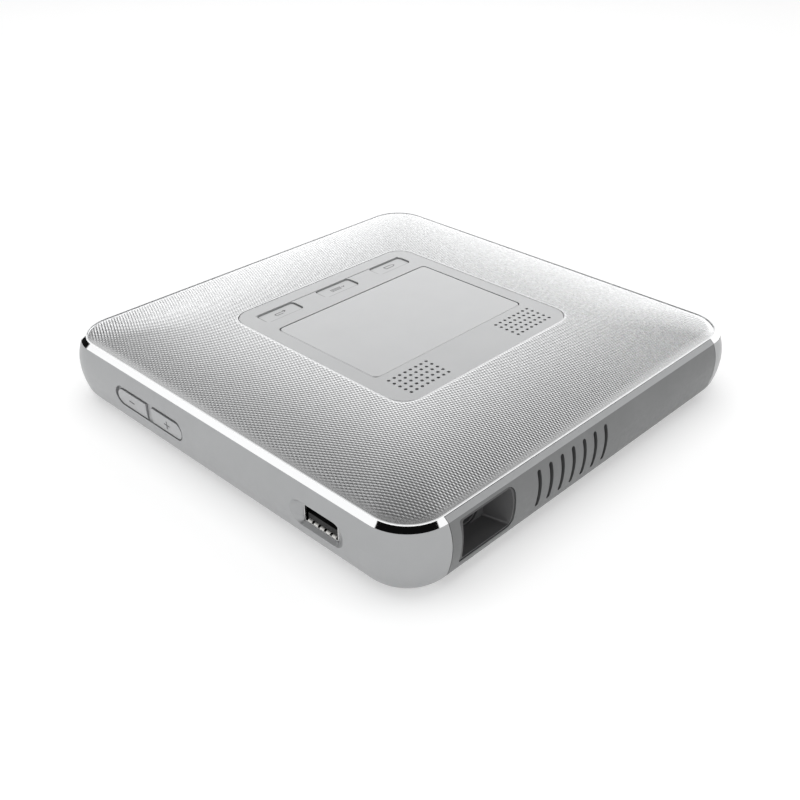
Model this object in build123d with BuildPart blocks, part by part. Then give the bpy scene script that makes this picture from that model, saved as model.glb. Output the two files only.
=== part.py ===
"""Palm-size square projector with a touch panel on top.

Origin: middle of the underside, on the plane that the rubber feet stand on.
X runs to the right seen from the front, Y to the back, Z up.  Millimetres.
"""
from build123d import *
import math
import os

os.makedirs("parts", exist_ok=True)

# ---------------------------------------------------------------- clearances
fit_gap = 0.1          # between two fixed pieces that plug together
key_gap = 0.2          # round a key in its slot
running_gap = 0.05     # radial, round a shaft that turns or slides
thread_gap = 0.02      # radial, between a screw and its plain thread hole

# ---------------------------------------------------------------- outer form
body_half = 78.1              # half-width at the widest height
corner_radius = 15.4          # of every corner, at the widest height
widest_height = 13.4
upper_bulge_radius = 16.5     # side curve above the widest height
lower_bulge_radius = 25.0     # side curve below it
tuck_top = 6.1                # where the side starts to tuck under
tuck_sagitta = 0.75
shell_bottom = 0.9
shell_bottom_inset = 5.0      # every inset is measured in from body_half
wall = 2.0
bevel_bottom = 20.5
bevel_top = 21.75
rim_inset = 3.1               # top of the polished bevel
lip_height = 0.3              # bright lip that stands above the bevel
lip_width = 0.4
panel_plane = 26.4            # top face of the control panel

# ---------------------------------------------------------------- bottom
foot_height = 0.5             # how far the feet stand out
bottom_thickness = 1.6
ledge_width = 3.4             # of the ledge that the bottom cover meets
ledge_thickness = 1.2
shell_edge_width = 2.0        # of the shell's lower edge round the bottom cover
foot_radius = 5.5
foot_recess = 0.8
foot_inset = 17.1             # foot's middle, in from the bottom cover's edge
post_radius = 3.2
post_reach = 5.2              # post centre from the corner centre, on the diagonal
web_thickness = 1.6           # rib between a post and the wall
screw_radius = 1.0
screw_head_radius = 1.9
screw_head_height = 0.9
screw_hole_radius = 1.2
tripod_thread_radius = 2.55   # tapping size of a quarter-inch camera thread
tripod_insert_radius = 4.2
tripod_insert_height = 7.0
tripod_boss_wall = 2.2
grille_slots = 7
grille_pitch = 4.2
grille_slot_width = 1.8
grille_slot_length = 24.0

# ---------------------------------------------------------------- top
cover_thickness = 1.6
dome_power = 2.6              # how late the dome falls away towards the rim
dome_sections = 5
panel_gap = 0.15              # round the control panel in its recess
panel_seat = 2.0              # width of the ledge under the panel's edge
cover_ledge_thickness = 1.3
cover_ledge_root = 1.65       # how far the ledge reaches out under the dome
panel_half = 38.6
panel_radius = 6.5
panel_thickness = 1.8
pad_width = 66.2
pad_depth = 43.2
pad_centre_y = -0.3
pad_radius = 1.6
pad_thickness = 0.9
pad_sink = 0.03
touch_board_margin = 4.0
pad_groove = 0.3
groove_y = 33.3               # thin line that joins the three keys
groove_half_length = 32.5
groove_width = 0.35
groove_depth = 0.35
hole_columns = 8
hole_rows = 5
hole_pitch = 2.24
hole_radius = 0.53
speaker_x = 23.9
speaker_y = -30.2

# ---------------------------------------------------------------- top keys
key_width = 15.0
key_depth = 6.1
key_radius = 1.6
key_y = 30.1
key_spacing = 25.0
key_sink = 0.35
key_travel = 0.4
key_flange_margin = 0.7
key_flange_thickness = 0.8
key_stem_radius = 1.2
key_stem_length = 0.6
dome_radius = 2.0
dome_height = 0.45
board_thickness = 1.0

# ---------------------------------------------------------------- side keys
volume_y = 29.25              # middle of the volume recess, on the left face
volume_z = 12.6
volume_length = 34.3
volume_height = 6.8
volume_divider = 2.8
volume_pocket_depth = 0.9
volume_key_margin = 0.8       # from the pocket's edge to the keys
volume_key_drop = 0.5         # the keys sit low in the pocket
side_key_sink = 0.3
side_flange_inset = 2.7
side_flange_margin = 0.7
side_rib_gap = 3.0            # from a key's end to the rib that holds its board
side_rib_thickness = 1.5
side_board_height = 8.8
side_flange_thickness = 1.0
side_board_inset = 5.0
power_y = 38.0
power_z = 12.6
power_length = 11.0
power_height = 5.4

# ---------------------------------------------------------------- front
seam_gap = 0.18
panel_inner_inset = 2.5
sill_inset = 6.1
window_end = 3.5              # from the corner's start to the window
window_width = 21.1
window_bottom = 6.3
window_top = 19.6
window_radius = 2.6
window_tight_radius = 0.8
vent_count = 7
vent_pitch = 5.05
vent_first_x = -28.0
vent_width = 1.5
vent_bottom = 6.9
vent_top = 18.8
side_vent_first_y = -22.0

# ---------------------------------------------------------------- lens
hood_wall = 0.4
hood_depth = 7.5              # of the funnel's back wall, in from body_half
hood_back_thickness = 1.2
hood_throat_width = 12.9
hood_throat_height = 9.5
lens_z = 13.2
nose_radius = 4.5
nose_hole_radius = 4.75
glass_radius = 3.9
glass_thickness = 1.6
glass_bulge = 0.8
nose_setback = 0.4            # of the barrel's nose behind the funnel's back wall
nose_length = 2.6
collar_setback = 2.0
collar_thickness = 2.0
collar_radius = 7.4
barrel_radius = 6.0
barrel_length = 19.6
barrel_bore_radius = 3.6
barrel_glass_inset = 1.4
focus_room = 1.6              # behind the collar, more than the focus travel
housing_length = 26.0
housing_radius = 8.2
focus_arm_reach = 11.6
focus_screw_radius = 0.75
focus_screw_end = 1.4         # how far the screw stands out of the collar
focus_motor_setback = 10.0
focus_motor_length = 9.0
focus_motor_radius = 3.2
guide_reach = 10.0
guide_radius = 0.8
ear_radius = 2.0

# ---------------------------------------------------------------- insides
engine_inset = 11.1
engine_right_reach = 16.65    # from the lens line
engine_depth = 32.0
engine_wall = 1.8
engine_top = 19.0
engine_foot = 1.4
led_size = 12.0
led_thickness = 5.0
chip_board_size = 26.0
led_first_inset = 9.0         # first module on the engine's back, from its left side
led_spacing = 16.0
led_side_inset = 7.0          # module on the engine's right side, from its back
led_z = 12.0
fan_gap = 0.6                 # between the fan and the fins
fan_size = 34.0
fan_corner_radius = 3.0
fan_height = 7.0
fan_leg = 2.1
fan_leg_radius = 1.4
fan_floor = 1.2
fan_cover_thickness = 1.0
fan_cavity_radius = 15.0
fan_inlet_radius = 9.5
fan_spoke_width = 1.6
fan_bush_radius = 2.4
fan_bush_height = 2.0
fan_shaft_radius = 1.0
fan_hub_radius = 5.5
fan_blade_radius = 13.6
fan_blade_thickness = 0.7
fan_blades = 17
fan_play = 0.6                # above and below the rotor
sink_gap = 1.5                # between the fins and the engine
sink_width = 35.0
sink_setback = 0.2            # behind the front panel's foot
sink_depth = 16.2
sink_fin_height = 8.3
sink_fins = 16
sink_fin_thickness = 0.5
sink_base = 1.4
pipe_radius = 1.6
pipe_bend = 6.0
battery_left = 13.0
battery_right_inset = 12.1
battery_front_inset = 20.1
battery_back = 6.0
battery_height = 12.0
board_end_inset = 18.1
board_front = 16.0
board_back_inset = 7.1
board_post_radius = 2.4
board_post_end_inset = 5.0    # board posts, in from the board's edges
board_post_front_inset = 4.0
board_post_back_inset = 9.0
shield_length = 42.0
shield_width = 26.0
shield_height = 2.2
shield_end_inset = 35.0       # its middle, from the board's left end
shield_front_inset = 18.0
shield_wall = 0.3
antenna_length = 38.0
antenna_width = 6.0
antenna_height = 1.2
antenna_end_inset = 23.0
antenna_gap = 3.0             # between the shield can and the antenna

# ---------------------------------------------------------------- sockets
usb_from_corner = 17.5        # USB mouth's middle, from the corner's start
socket_z = 11.4               # height of the USB mouth's middle
usb_open_width = 12.5
usb_open_height = 5.1
metal = 0.3
usb_length = 14.0
usb_sink = 1.9                # how deep the USB mouth and the scoop's floor lie
scoop_width = 20.5
scoop_bottom = 7.6
scoop_top = 15.7
scoop_floor_width = 14.2
scoop_floor_height = 6.3
scoop_block_inset = 4.1
tongue_width = 11.1
tongue_thickness = 1.84
tongue_drop = 1.0
tongue_recess = 0.6
usb_board_setback = 2.4       # behind the socket's mouth
usb_board_length = 12.3
usb_board_depth = 17.0
hdmi_x = 12.0
hdmi_open_width = 14.0
hdmi_open_height = 4.6
hdmi_length = 12.0
back_socket_sink = 0.9        # how deep the mouths on the back face lie
dc_x = 40.0
dc_body_width = 9.0
dc_body_height = 9.1
dc_body_length = 12.0
dc_nose_radius = 3.6
dc_bore_radius = 2.9
dc_pin_radius = 1.0
audio_x = -14.0
audio_body_width = 6.2
audio_body_height = 5.6
audio_body_length = 13.0
audio_nose_radius = 2.7
audio_bore_radius = 1.8
audio_bore_depth = 13.5
socket_nose_length = 2.2      # round noses of the DC and audio bodies
speaker_width = 20.0
speaker_depth = 11.2
speaker_height = 4.4
mesh_thickness = 0.2

# ---------------------------------------------------------------- worked out
corner_centre = body_half - corner_radius
rim_half = body_half - rim_inset
shell_bottom_half = body_half - shell_bottom_inset
ledge_half = shell_bottom_half - ledge_width
bottom_half = shell_bottom_half - shell_edge_width
foot_place = bottom_half - foot_inset
recess_half = panel_half + panel_gap
recess_radius = panel_radius + fit_gap
cover_opening_half = panel_half - panel_seat
cover_ledge_half = recess_half + cover_ledge_root
side_flange_outer = body_half - side_flange_inset
side_board_outer = body_half - side_board_inset
panel_inner_half = body_half - panel_inner_inset
sill_half = body_half - sill_inset
bottom_face = foot_height
bottom_inside = bottom_face + bottom_thickness
ledge_top = bottom_inside + ledge_thickness
panel_underside = panel_plane - panel_thickness
window_left = window_end - corner_centre
window_right = window_left + window_width
window_x = (window_left + window_right) / 2
window_z = (window_bottom + window_top) / 2
window_height = window_top - window_bottom
lens_x = window_x
hood_back = body_half - hood_depth
nose_front = hood_back - nose_setback
barrel_front = nose_front - nose_length
barrel_back = barrel_front - barrel_length
collar_front = barrel_front - collar_setback
collar_back = collar_front - collar_thickness
housing_front = collar_back - focus_room
housing_back = housing_front - housing_length
focus_screw_tip = collar_front + focus_screw_end
focus_motor_front = housing_front - focus_motor_setback
engine_left = engine_inset - body_half
engine_right = lens_x + engine_right_reach
engine_back = engine_depth - housing_back
led_back_xs = (engine_left + led_first_inset, engine_left + led_first_inset + led_spacing)
led_side_y = engine_back - led_side_inset
sink_front = sill_half - sink_setback
sink_left = engine_right + sink_gap
sink_x = sink_left + sink_width / 2
fan_x = sink_x
fan_y = sink_depth + fan_gap + fan_size / 2 - sink_front
battery_right = body_half - battery_right_inset
battery_front = battery_front_inset - body_half
board_right = body_half - board_end_inset
board_left = -board_right
board_back = body_half - board_back_inset
board_post_x = board_right - board_post_end_inset
board_post_front = board_front + board_post_front_inset
board_post_back = board_back - board_post_back_inset
shield_x = board_left + shield_end_inset
shield_y = board_front + shield_front_inset
antenna_x = board_left + antenna_end_inset
antenna_y = shield_y + shield_width / 2 + antenna_gap + antenna_width / 2
usb_y = usb_from_corner - corner_centre
usb_mouth_half = body_half - usb_sink
scoop_block_half = body_half - scoop_block_inset
usb_board_front = usb_board_setback - usb_mouth_half
usb_board_back = usb_board_front + usb_board_length
back_mouth_half = body_half - back_socket_sink
socket_body_half = back_mouth_half - socket_nose_length
post_place = corner_centre + post_reach / math.sqrt(2)
key_top = panel_plane - key_sink
key_flange_top = panel_underside - running_gap
key_flange_bottom = key_flange_top - key_flange_thickness
stem_bottom = key_flange_bottom - key_stem_length
key_board_top = stem_bottom - key_travel - running_gap - dome_height
dome_outer = side_board_outer + dome_height
side_stem_end = dome_outer + key_travel + running_gap
board_top = socket_z - usb_open_height / 2 - metal
board_bottom = board_top - board_thickness
hdmi_z = board_top + hdmi_open_height / 2 + metal
dc_z = board_top + dc_body_height / 2
audio_z = board_top + audio_body_height / 2
post_top = tuck_top + 6.0
cover_edge_half = rim_half - lip_width - fit_gap
volume_key_z = volume_z - volume_key_drop
ring_shelf = bevel_bottom + 0.5
ring_inner_half = rim_half - 1.6


# ---------------------------------------------------------------- outlines
def side_half(height):
    """Half-width of the bulged side at a height."""
    rise = height - widest_height
    radius = upper_bulge_radius if rise > 0 else lower_bulge_radius
    return body_half - radius + math.sqrt(radius**2 - rise**2)


def side_curve(inset=0.0):
    """The side's outer line from the shell's bottom edge up to the bevel."""
    bottom = Vector(shell_bottom_half - inset, shell_bottom)
    tuck = Vector(side_half(tuck_top) - inset, tuck_top)
    widest = Vector(body_half - inset, widest_height)
    top = Vector(side_half(bevel_bottom) - inset, bevel_bottom)
    along = (tuck - bottom).normalized()
    middle = (bottom + tuck) * 0.5 + Vector(along.Y, -along.X) * tuck_sagitta
    low_z = (tuck_top + widest_height) / 2
    high_z = (widest_height + bevel_bottom) / 2
    with BuildLine() as curve:
        ThreePointArc(bottom, middle, tuck)
        ThreePointArc(tuck, (side_half(low_z) - inset, low_z), widest)
        ThreePointArc(widest, (side_half(high_z) - inset, high_z), top)
    return curve.line


def side_region(back_half, inset=0.0):
    """Face between the side's line and a straight back at back_half."""
    with BuildSketch() as region:
        with BuildLine():
            add(side_curve(inset))
            Polyline(
                (side_half(bevel_bottom) - inset, bevel_bottom),
                (back_half, bevel_bottom),
                (back_half, shell_bottom),
                (shell_bottom_half - inset, shell_bottom),
            )
        make_face()
    return region.sketch


def heading(turn):
    """Level unit vector at this many degrees from +X, free of rounding dust."""
    angle = math.radians(turn)
    return Vector(round(math.cos(angle), 9), round(math.sin(angle), 9), 0)


def side_plane(turn):
    """Upright plane through the middle, its X pointing outward at this turn."""
    outward = heading(turn)
    return Plane(origin=(0, 0, 0), x_dir=outward, z_dir=outward.cross(Vector(0, 0, 1)))


def facing_plane(turn, distance):
    """Plane that faces outward at this turn, its Y pointing up."""
    outward = heading(turn)
    return Plane(origin=outward * distance, x_dir=Vector(0, 0, 1).cross(outward), z_dir=outward)


def around(section):
    """Carry a wall section round the four sides and the four corners."""
    for side in range(4):
        plane = side_plane(90 * side)
        with BuildSketch(plane) as straight:
            add(section)
        extrude(straight.sketch, amount=corner_centre, both=True)
        corner_plane = plane.offset(corner_centre)
        with BuildSketch(corner_plane) as turned:
            add(section)
        corner = corner_plane.from_local_coords(Vector(corner_centre, 0, 0))
        revolve(turned.sketch, axis=Axis(corner, (0, 0, -1)), revolution_arc=90)


LEFT = 180
BACK = 90
RIGHT = 0
FRONT = 270


# ---------------------------------------------------------------- body shell
def shell_section():
    """Side wall with the ledge that the bottom cover meets."""
    top_half = side_half(bevel_bottom)
    middle_z = (widest_height + bevel_bottom) / 2
    with BuildSketch() as section:
        with BuildLine():
            add(side_curve())
            Line((top_half, bevel_bottom), (top_half - wall, bevel_bottom))
            ThreePointArc(
                (top_half - wall, bevel_bottom),
                (side_half(middle_z) - wall, middle_z),
                (body_half - wall, widest_height),
            )
            Polyline(
                (body_half - wall, widest_height),
                (side_half(tuck_top) - wall, tuck_top),
                (sill_half + 1.0, ledge_top),
                (ledge_half, ledge_top),
                (ledge_half, bottom_inside),
                (bottom_half + fit_gap, bottom_inside),
                (bottom_half + fit_gap, shell_bottom),
                (shell_bottom_half, shell_bottom),
            )
        make_face()
    return section.sketch


with BuildPart() as body_shell:
    around(shell_section())
    # front opening that takes the front panel, over a sill
    with BuildSketch(Plane.XY):
        with Locations((0, -(sill_half + body_half + 2) / 2)):
            Rectangle(2 * corner_centre, body_half + 2 - sill_half)
    extrude(amount=bevel_bottom + 1, mode=Mode.SUBTRACT)
    # screw posts at the corners, webbed to the wall
    for side in range(4):
        turn = 45 + 90 * side
        diagonal = heading(turn)
        post_centre = diagonal * post_place * math.sqrt(2)
        wall_reach = corner_centre * math.sqrt(2) + body_half - corner_centre - wall + fit_gap
        web_middle = diagonal * (post_centre.length + wall_reach) / 2
        with BuildSketch(Plane.XY.offset(bottom_inside)):
            with Locations((post_centre.X, post_centre.Y)):
                Circle(post_radius)
        extrude(amount=post_top - bottom_inside)
        with BuildSketch(Plane.XY.offset(tuck_top)):
            with Locations(Location((web_middle.X, web_middle.Y, 0), (0, 0, turn))):
                Rectangle(wall_reach - post_centre.length, web_thickness)
        extrude(amount=post_top - tuck_top)
        with BuildSketch(Plane.XY):
            with Locations((post_centre.X, post_centre.Y)):
                Circle(screw_hole_radius)
        extrude(amount=bevel_bottom, mode=Mode.SUBTRACT)
    # volume keys: a pocket, and two slots in its floor
    with BuildSketch(facing_plane(LEFT, body_half - volume_pocket_depth)):
        with Locations((-volume_y, volume_z)):
            SlotOverall(volume_length, volume_height)
    extrude(amount=volume_pocket_depth + 1, mode=Mode.SUBTRACT)
    slot_margin = volume_key_margin - key_gap
    with BuildSketch(facing_plane(LEFT, side_flange_outer)):
        with Locations((-volume_y, volume_key_z)):
            SlotOverall(volume_length - 2 * slot_margin, volume_height - 2 * slot_margin)
            Rectangle(volume_divider - 2 * key_gap, volume_height, mode=Mode.SUBTRACT)
    extrude(amount=body_half, mode=Mode.SUBTRACT)
    # ribs that hold the volume board and the power board
    for turn, middle, length in (
        (LEFT, -volume_y, volume_length),
        (RIGHT, power_y, power_length),
    ):
        with BuildSketch(facing_plane(turn, side_board_outer - board_thickness)):
            with Locations((middle, volume_z)):
                with GridLocations(length + 2 * side_rib_gap + side_rib_thickness, 1, 2, 1):
                    Rectangle(side_rib_thickness, side_board_height)
        extrude(amount=body_half - wall + 0.5 - side_board_outer + board_thickness)
    # power key slot on the right face
    with BuildSketch(facing_plane(RIGHT, side_flange_outer)):
        with Locations((power_y, power_z)):
            SlotOverall(power_length + 2 * key_gap, power_height + 2 * key_gap)
    extrude(amount=body_half, mode=Mode.SUBTRACT)
    # air vents on the right face
    with BuildSketch(facing_plane(RIGHT, side_flange_outer)):
        for slot in range(vent_count):
            with Locations((side_vent_first_y + slot * vent_pitch, (vent_bottom + vent_top) / 2)):
                SlotOverall(vent_top - vent_bottom, vent_width, rotation=90)
    extrude(amount=body_half, mode=Mode.SUBTRACT)
    # scooped USB mouth on the left face, cut into a thicker patch of wall
    scoop_z = (scoop_bottom + scoop_top) / 2
    scoop_height = scoop_top - scoop_bottom
    with BuildSketch(facing_plane(LEFT, scoop_block_half)):
        with Locations((-usb_y, scoop_z)):
            Rectangle(scoop_width + 2, scoop_height + 1)
    extrude(amount=body_half - wall / 2 - scoop_block_half)
    with BuildSketch(facing_plane(LEFT, usb_mouth_half)):
        with Locations((-usb_y, socket_z + 0.2)):
            RectangleRounded(scoop_floor_width, scoop_floor_height, 1.2)
    with BuildSketch(facing_plane(LEFT, body_half + 0.4)):
        with Locations((-usb_y, scoop_z)):
            RectangleRounded(scoop_width + 1.2, scoop_height + 0.8, (scoop_height + 0.7) / 2)
    loft(mode=Mode.SUBTRACT)
    with BuildSketch(facing_plane(LEFT, scoop_block_half - 1)):
        with Locations((-usb_y, socket_z)):
            Rectangle(
                usb_open_width + 2 * (metal + fit_gap),
                usb_open_height + 2 * (metal + fit_gap),
            )
    extrude(amount=body_half, mode=Mode.SUBTRACT)
    # socket holes in the back face
    with BuildSketch(facing_plane(BACK, body_half - 2 * wall)):
        with Locations((-hdmi_x, hdmi_z)):
            Rectangle(
                hdmi_open_width + 2 * (metal + fit_gap),
                hdmi_open_height + 2 * (metal + fit_gap),
            )
        with Locations((-dc_x, dc_z)):
            Circle(dc_nose_radius + fit_gap)
        with Locations((-audio_x, audio_z)):
            Circle(audio_nose_radius + fit_gap)
    extrude(amount=body_half, mode=Mode.SUBTRACT)

body_shell.part.label = "body_shell"
export_step(body_shell.part, "parts/body_shell.step")


# ---------------------------------------------------------------- bevel ring
def ring_section():
    """Polished bevel, its bright lip and the shelf for the top cover."""
    with BuildSketch() as section:
        with BuildLine():
            Polyline(
                (ring_inner_half, bevel_bottom),
                (side_half(bevel_bottom), bevel_bottom),
                (rim_half, bevel_top),
                (rim_half - 0.05, bevel_top + lip_height),
                (rim_half - lip_width, bevel_top + lip_height),
                (rim_half - lip_width, ring_shelf),
                (ring_inner_half, ring_shelf),
                close=True,
            )
        make_face()
    return section.sketch


with BuildPart() as bevel_ring:
    around(ring_section())
    # the front panel carries its own bevel between the seams
    with BuildSketch(Plane.XY.offset(bevel_bottom - 1)):
        with Locations((0, -(rim_half + body_half + 1) / 2)):
            Rectangle(2 * corner_centre, body_half + 1 - rim_half)
    extrude(amount=bevel_top, mode=Mode.SUBTRACT)

bevel_ring.part.label = "bevel_ring"
export_step(bevel_ring.part, "parts/bevel_ring.step")


# ---------------------------------------------------------------- front panel
def front_section():
    """Front panel from its foot on the sill to its own bevel."""
    face_half = rim_half + fit_gap
    with BuildSketch() as section:
        with BuildLine():
            add(side_curve())
            Polyline(
                (side_half(bevel_bottom), bevel_bottom),
                (face_half, bevel_top - fit_gap),
                (face_half, bevel_bottom - 1.5),
                (panel_inner_half, bevel_bottom - 2.5),
                (panel_inner_half, tuck_top + 1.5),
                (sill_half + fit_gap, ledge_top),
                (sill_half + fit_gap, shell_bottom),
                (shell_bottom_half, shell_bottom),
            )
        make_face()
    return section.sketch


with BuildPart() as front_panel:
    with BuildSketch(side_plane(FRONT)):
        add(front_section())
    extrude(amount=corner_centre - seam_gap, both=True)
    with BuildSketch(facing_plane(FRONT, sill_half)):
        with Locations((window_x, window_z)):
            Rectangle(window_width, window_height)
        fillet(vertices().sort_by(Axis.X)[:2], window_tight_radius)
        fillet(vertices().sort_by(Axis.X)[-2:], window_radius)
    extrude(amount=body_half, mode=Mode.SUBTRACT)
    with BuildSketch(facing_plane(FRONT, sill_half)):
        for slot in range(vent_count):
            with Locations((vent_first_x + slot * vent_pitch, (vent_bottom + vent_top) / 2)):
                SlotOverall(vent_top - vent_bottom, vent_width, rotation=90)
    extrude(amount=body_half, mode=Mode.SUBTRACT)

front_panel.part.label = "front_panel"
export_step(front_panel.part, "parts/front_panel.step")


# ---------------------------------------------------------------- bottom cover
corner_places = [(x * post_place, y * post_place) for x in (-1, 1) for y in (-1, 1)]
foot_places = [(x * foot_place, y * foot_place) for x in (-1, 1) for y in (-1, 1)]
board_places = [
    (x * board_post_x, y) for x in (-1, 1) for y in (board_post_front, board_post_back)
]
usb_posts = [(usb_board_back - 3.0, usb_y - 6.0), (usb_board_back - 3.0, usb_y + 6.0)]

with BuildPart() as bottom_cover:
    with BuildSketch(Plane.XY.offset(bottom_face)):
        RectangleRounded(2 * bottom_half, 2 * bottom_half, bottom_half - corner_centre)
    extrude(amount=bottom_thickness)
    # posts for the boards and the boss round the tripod insert
    with BuildSketch(Plane.XY.offset(bottom_inside)):
        with Locations(*board_places, *usb_posts):
            Circle(board_post_radius)
    extrude(amount=board_bottom - bottom_inside)
    with BuildSketch(Plane.XY.offset(bottom_inside)):
        Circle(tripod_insert_radius + tripod_boss_wall)
    extrude(amount=tripod_insert_height + bottom_face - bottom_inside)
    with BuildSketch(Plane.XY):
        Circle(tripod_insert_radius + thread_gap)
    extrude(amount=tripod_insert_height + bottom_face, mode=Mode.SUBTRACT)
    # recesses for the feet, and counterbored screw holes
    with BuildSketch(Plane.XY):
        with Locations(*foot_places):
            Circle(foot_radius + fit_gap)
    extrude(amount=bottom_face + foot_recess, mode=Mode.SUBTRACT)
    with BuildSketch(Plane.XY):
        with Locations(*corner_places):
            Circle(screw_head_radius + fit_gap)
    extrude(amount=bottom_face + screw_head_height, mode=Mode.SUBTRACT)
    with BuildSketch(Plane.XY):
        with Locations(*corner_places):
            Circle(screw_hole_radius)
    extrude(amount=bottom_inside, mode=Mode.SUBTRACT)
    with BuildSketch(Plane.XY.offset(bottom_inside + 1.0)):
        with Locations(*board_places):
            Circle(screw_radius + thread_gap)
    extrude(amount=board_bottom, mode=Mode.SUBTRACT)
    # intake grille under the fan
    with BuildSketch(Plane.XY):
        with Locations((fan_x, fan_y)):
            with GridLocations(grille_pitch, 1, grille_slots, 1):
                SlotOverall(grille_slot_length, grille_slot_width, rotation=90)
    extrude(amount=bottom_inside, mode=Mode.SUBTRACT)

bottom_cover.part.label = "bottom_cover"
export_step(bottom_cover.part, "parts/bottom_cover.step")

with BuildPart() as rubber_feet:
    with BuildSketch(Plane.XY):
        with Locations(*foot_places):
            Circle(foot_radius)
    extrude(amount=bottom_face + foot_recess)
    chamfer(rubber_feet.edges().group_by(Axis.Z)[0], foot_height * 0.6)

rubber_feet.part.label = "rubber_feet"
export_step(rubber_feet.part, "parts/rubber_feet.step")

with BuildPart() as tripod_insert:
    with BuildSketch(Plane.XY.offset(bottom_face)):
        Circle(tripod_insert_radius)
        Circle(tripod_thread_radius, mode=Mode.SUBTRACT)
    extrude(amount=tripod_insert_height)

tripod_insert.part.label = "tripod_insert"
export_step(tripod_insert.part, "parts/tripod_insert.step")


# ---------------------------------------------------------------- top cover
def dome_outline(step):
    """Half-width, corner radius and height of one level line of the dome."""
    share = step / (dome_sections - 1)
    half = cover_edge_half + (recess_half - cover_edge_half) * share
    radius = (cover_edge_half - corner_centre) * (1 - share) + recess_radius * share
    fall = (1 - share) ** dome_power
    return half, radius, panel_plane - (panel_plane - bevel_top) * fall


with BuildPart() as top_cover:
    with BuildSketch(Plane.XY.offset(ring_shelf)):
        edge_radius = cover_edge_half - corner_centre
        RectangleRounded(2 * cover_edge_half, 2 * cover_edge_half, edge_radius)
    extrude(amount=bevel_top - ring_shelf)
    for step in range(dome_sections):
        half, radius, height = dome_outline(step)
        with BuildSketch(Plane.XY.offset(height)):
            RectangleRounded(2 * half, 2 * half, radius)
    loft()
    for step in range(dome_sections):
        half, radius, height = dome_outline(step)
        with BuildSketch(Plane.XY.offset(height - cover_thickness)):
            RectangleRounded(2 * half, 2 * half, radius)
    loft(mode=Mode.SUBTRACT)
    # ledge that carries the control panel, then its recess and opening
    with BuildSketch(Plane.XY.offset(panel_underside - cover_ledge_thickness)):
        RectangleRounded(2 * cover_ledge_half, 2 * cover_ledge_half, recess_radius)
    extrude(amount=cover_ledge_thickness + 0.6)
    with BuildSketch(Plane.XY.offset(panel_underside)):
        RectangleRounded(2 * recess_half, 2 * recess_half, recess_radius)
    extrude(amount=panel_thickness + 1, mode=Mode.SUBTRACT)
    with BuildSketch(Plane.XY.offset(ring_shelf)):
        RectangleRounded(2 * cover_opening_half, 2 * cover_opening_half, recess_radius)
    extrude(amount=panel_plane, mode=Mode.SUBTRACT)
    # bosses that the case screws reach
    with BuildSketch(Plane.XY.offset(post_top)):
        with Locations(*corner_places):
            Circle(post_radius - 0.2)
            Circle(screw_radius + thread_gap, mode=Mode.SUBTRACT)
    extrude(amount=ring_shelf + 0.8 - post_top)

top_cover.part.label = "top_cover"
export_step(top_cover.part, "parts/top_cover.step")

screw_length = ring_shelf - 2.0 - bottom_face - screw_head_height
with BuildPart() as case_screws:
    with BuildSketch(Plane.XY.offset(bottom_face)):
        with Locations(*corner_places):
            Circle(screw_head_radius)
    extrude(amount=screw_head_height)
    with BuildSketch(Plane.XY.offset(bottom_face + screw_head_height)):
        with Locations(*corner_places):
            Circle(screw_radius)
    extrude(amount=screw_length)
    # cross recess in each head
    with BuildSketch(Plane.XY.offset(bottom_face)):
        with Locations(*corner_places):
            Rectangle(2.2, 0.5)
            Rectangle(0.5, 2.2)
    extrude(amount=screw_head_height * 0.7, mode=Mode.SUBTRACT)

case_screws.part.label = "case_screws"
export_step(case_screws.part, "parts/case_screws.step")


# ---------------------------------------------------------------- control panel
key_columns = {"key_back": -key_spacing, "key_menu": 0.0, "key_home": key_spacing}
panel_post_x = key_spacing / 2
panel_posts = [(-panel_post_x, key_y), (panel_post_x, key_y)]
speaker_places = [(-speaker_x, speaker_y), (speaker_x, speaker_y)]

with BuildPart() as control_panel:
    with BuildSketch(Plane.XY.offset(panel_underside)):
        RectangleRounded(2 * panel_half, 2 * panel_half, panel_radius)
    extrude(amount=panel_thickness)
    chamfer(control_panel.faces().sort_by(Axis.Z)[-1].edges(), 0.2)
    with BuildSketch(Plane.XY.offset(panel_plane - pad_sink - pad_thickness)):
        with Locations((0, pad_centre_y)):
            RectangleRounded(pad_width + 2 * pad_groove, pad_depth + 2 * pad_groove, pad_radius)
    extrude(amount=panel_thickness, mode=Mode.SUBTRACT)
    with BuildSketch(Plane.XY.offset(panel_underside)):
        with Locations(*[(x, key_y) for x in key_columns.values()]):
            RectangleRounded(key_width + 2 * key_gap, key_depth + 2 * key_gap, key_radius)
    extrude(amount=panel_thickness + 1, mode=Mode.SUBTRACT)
    with BuildSketch(Plane.XY.offset(panel_plane - groove_depth)):
        with Locations((0, groove_y)):
            Rectangle(2 * groove_half_length, groove_width)
    extrude(amount=panel_thickness, mode=Mode.SUBTRACT)
    with BuildSketch(Plane.XY.offset(panel_underside)):
        with Locations(*speaker_places):
            with GridLocations(hole_pitch, hole_pitch, hole_columns, hole_rows):
                Circle(hole_radius)
    extrude(amount=panel_thickness + 1, mode=Mode.SUBTRACT)
    # posts that carry the key board
    with BuildSketch(Plane.XY.offset(key_board_top)):
        with Locations(*panel_posts):
            Circle(post_radius / 2)
            Circle(screw_radius * 0.7 + thread_gap, mode=Mode.SUBTRACT)
    extrude(amount=panel_underside - key_board_top)

control_panel.part.label = "control_panel"
export_step(control_panel.part, "parts/control_panel.step")

with BuildPart() as touchpad:
    with BuildSketch(Plane.XY.offset(panel_plane - pad_sink - pad_thickness)):
        with Locations((0, pad_centre_y)):
            RectangleRounded(pad_width, pad_depth, pad_radius)
    extrude(amount=pad_thickness)
    chamfer(touchpad.faces().sort_by(Axis.Z)[-1].edges(), 0.15)

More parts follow.
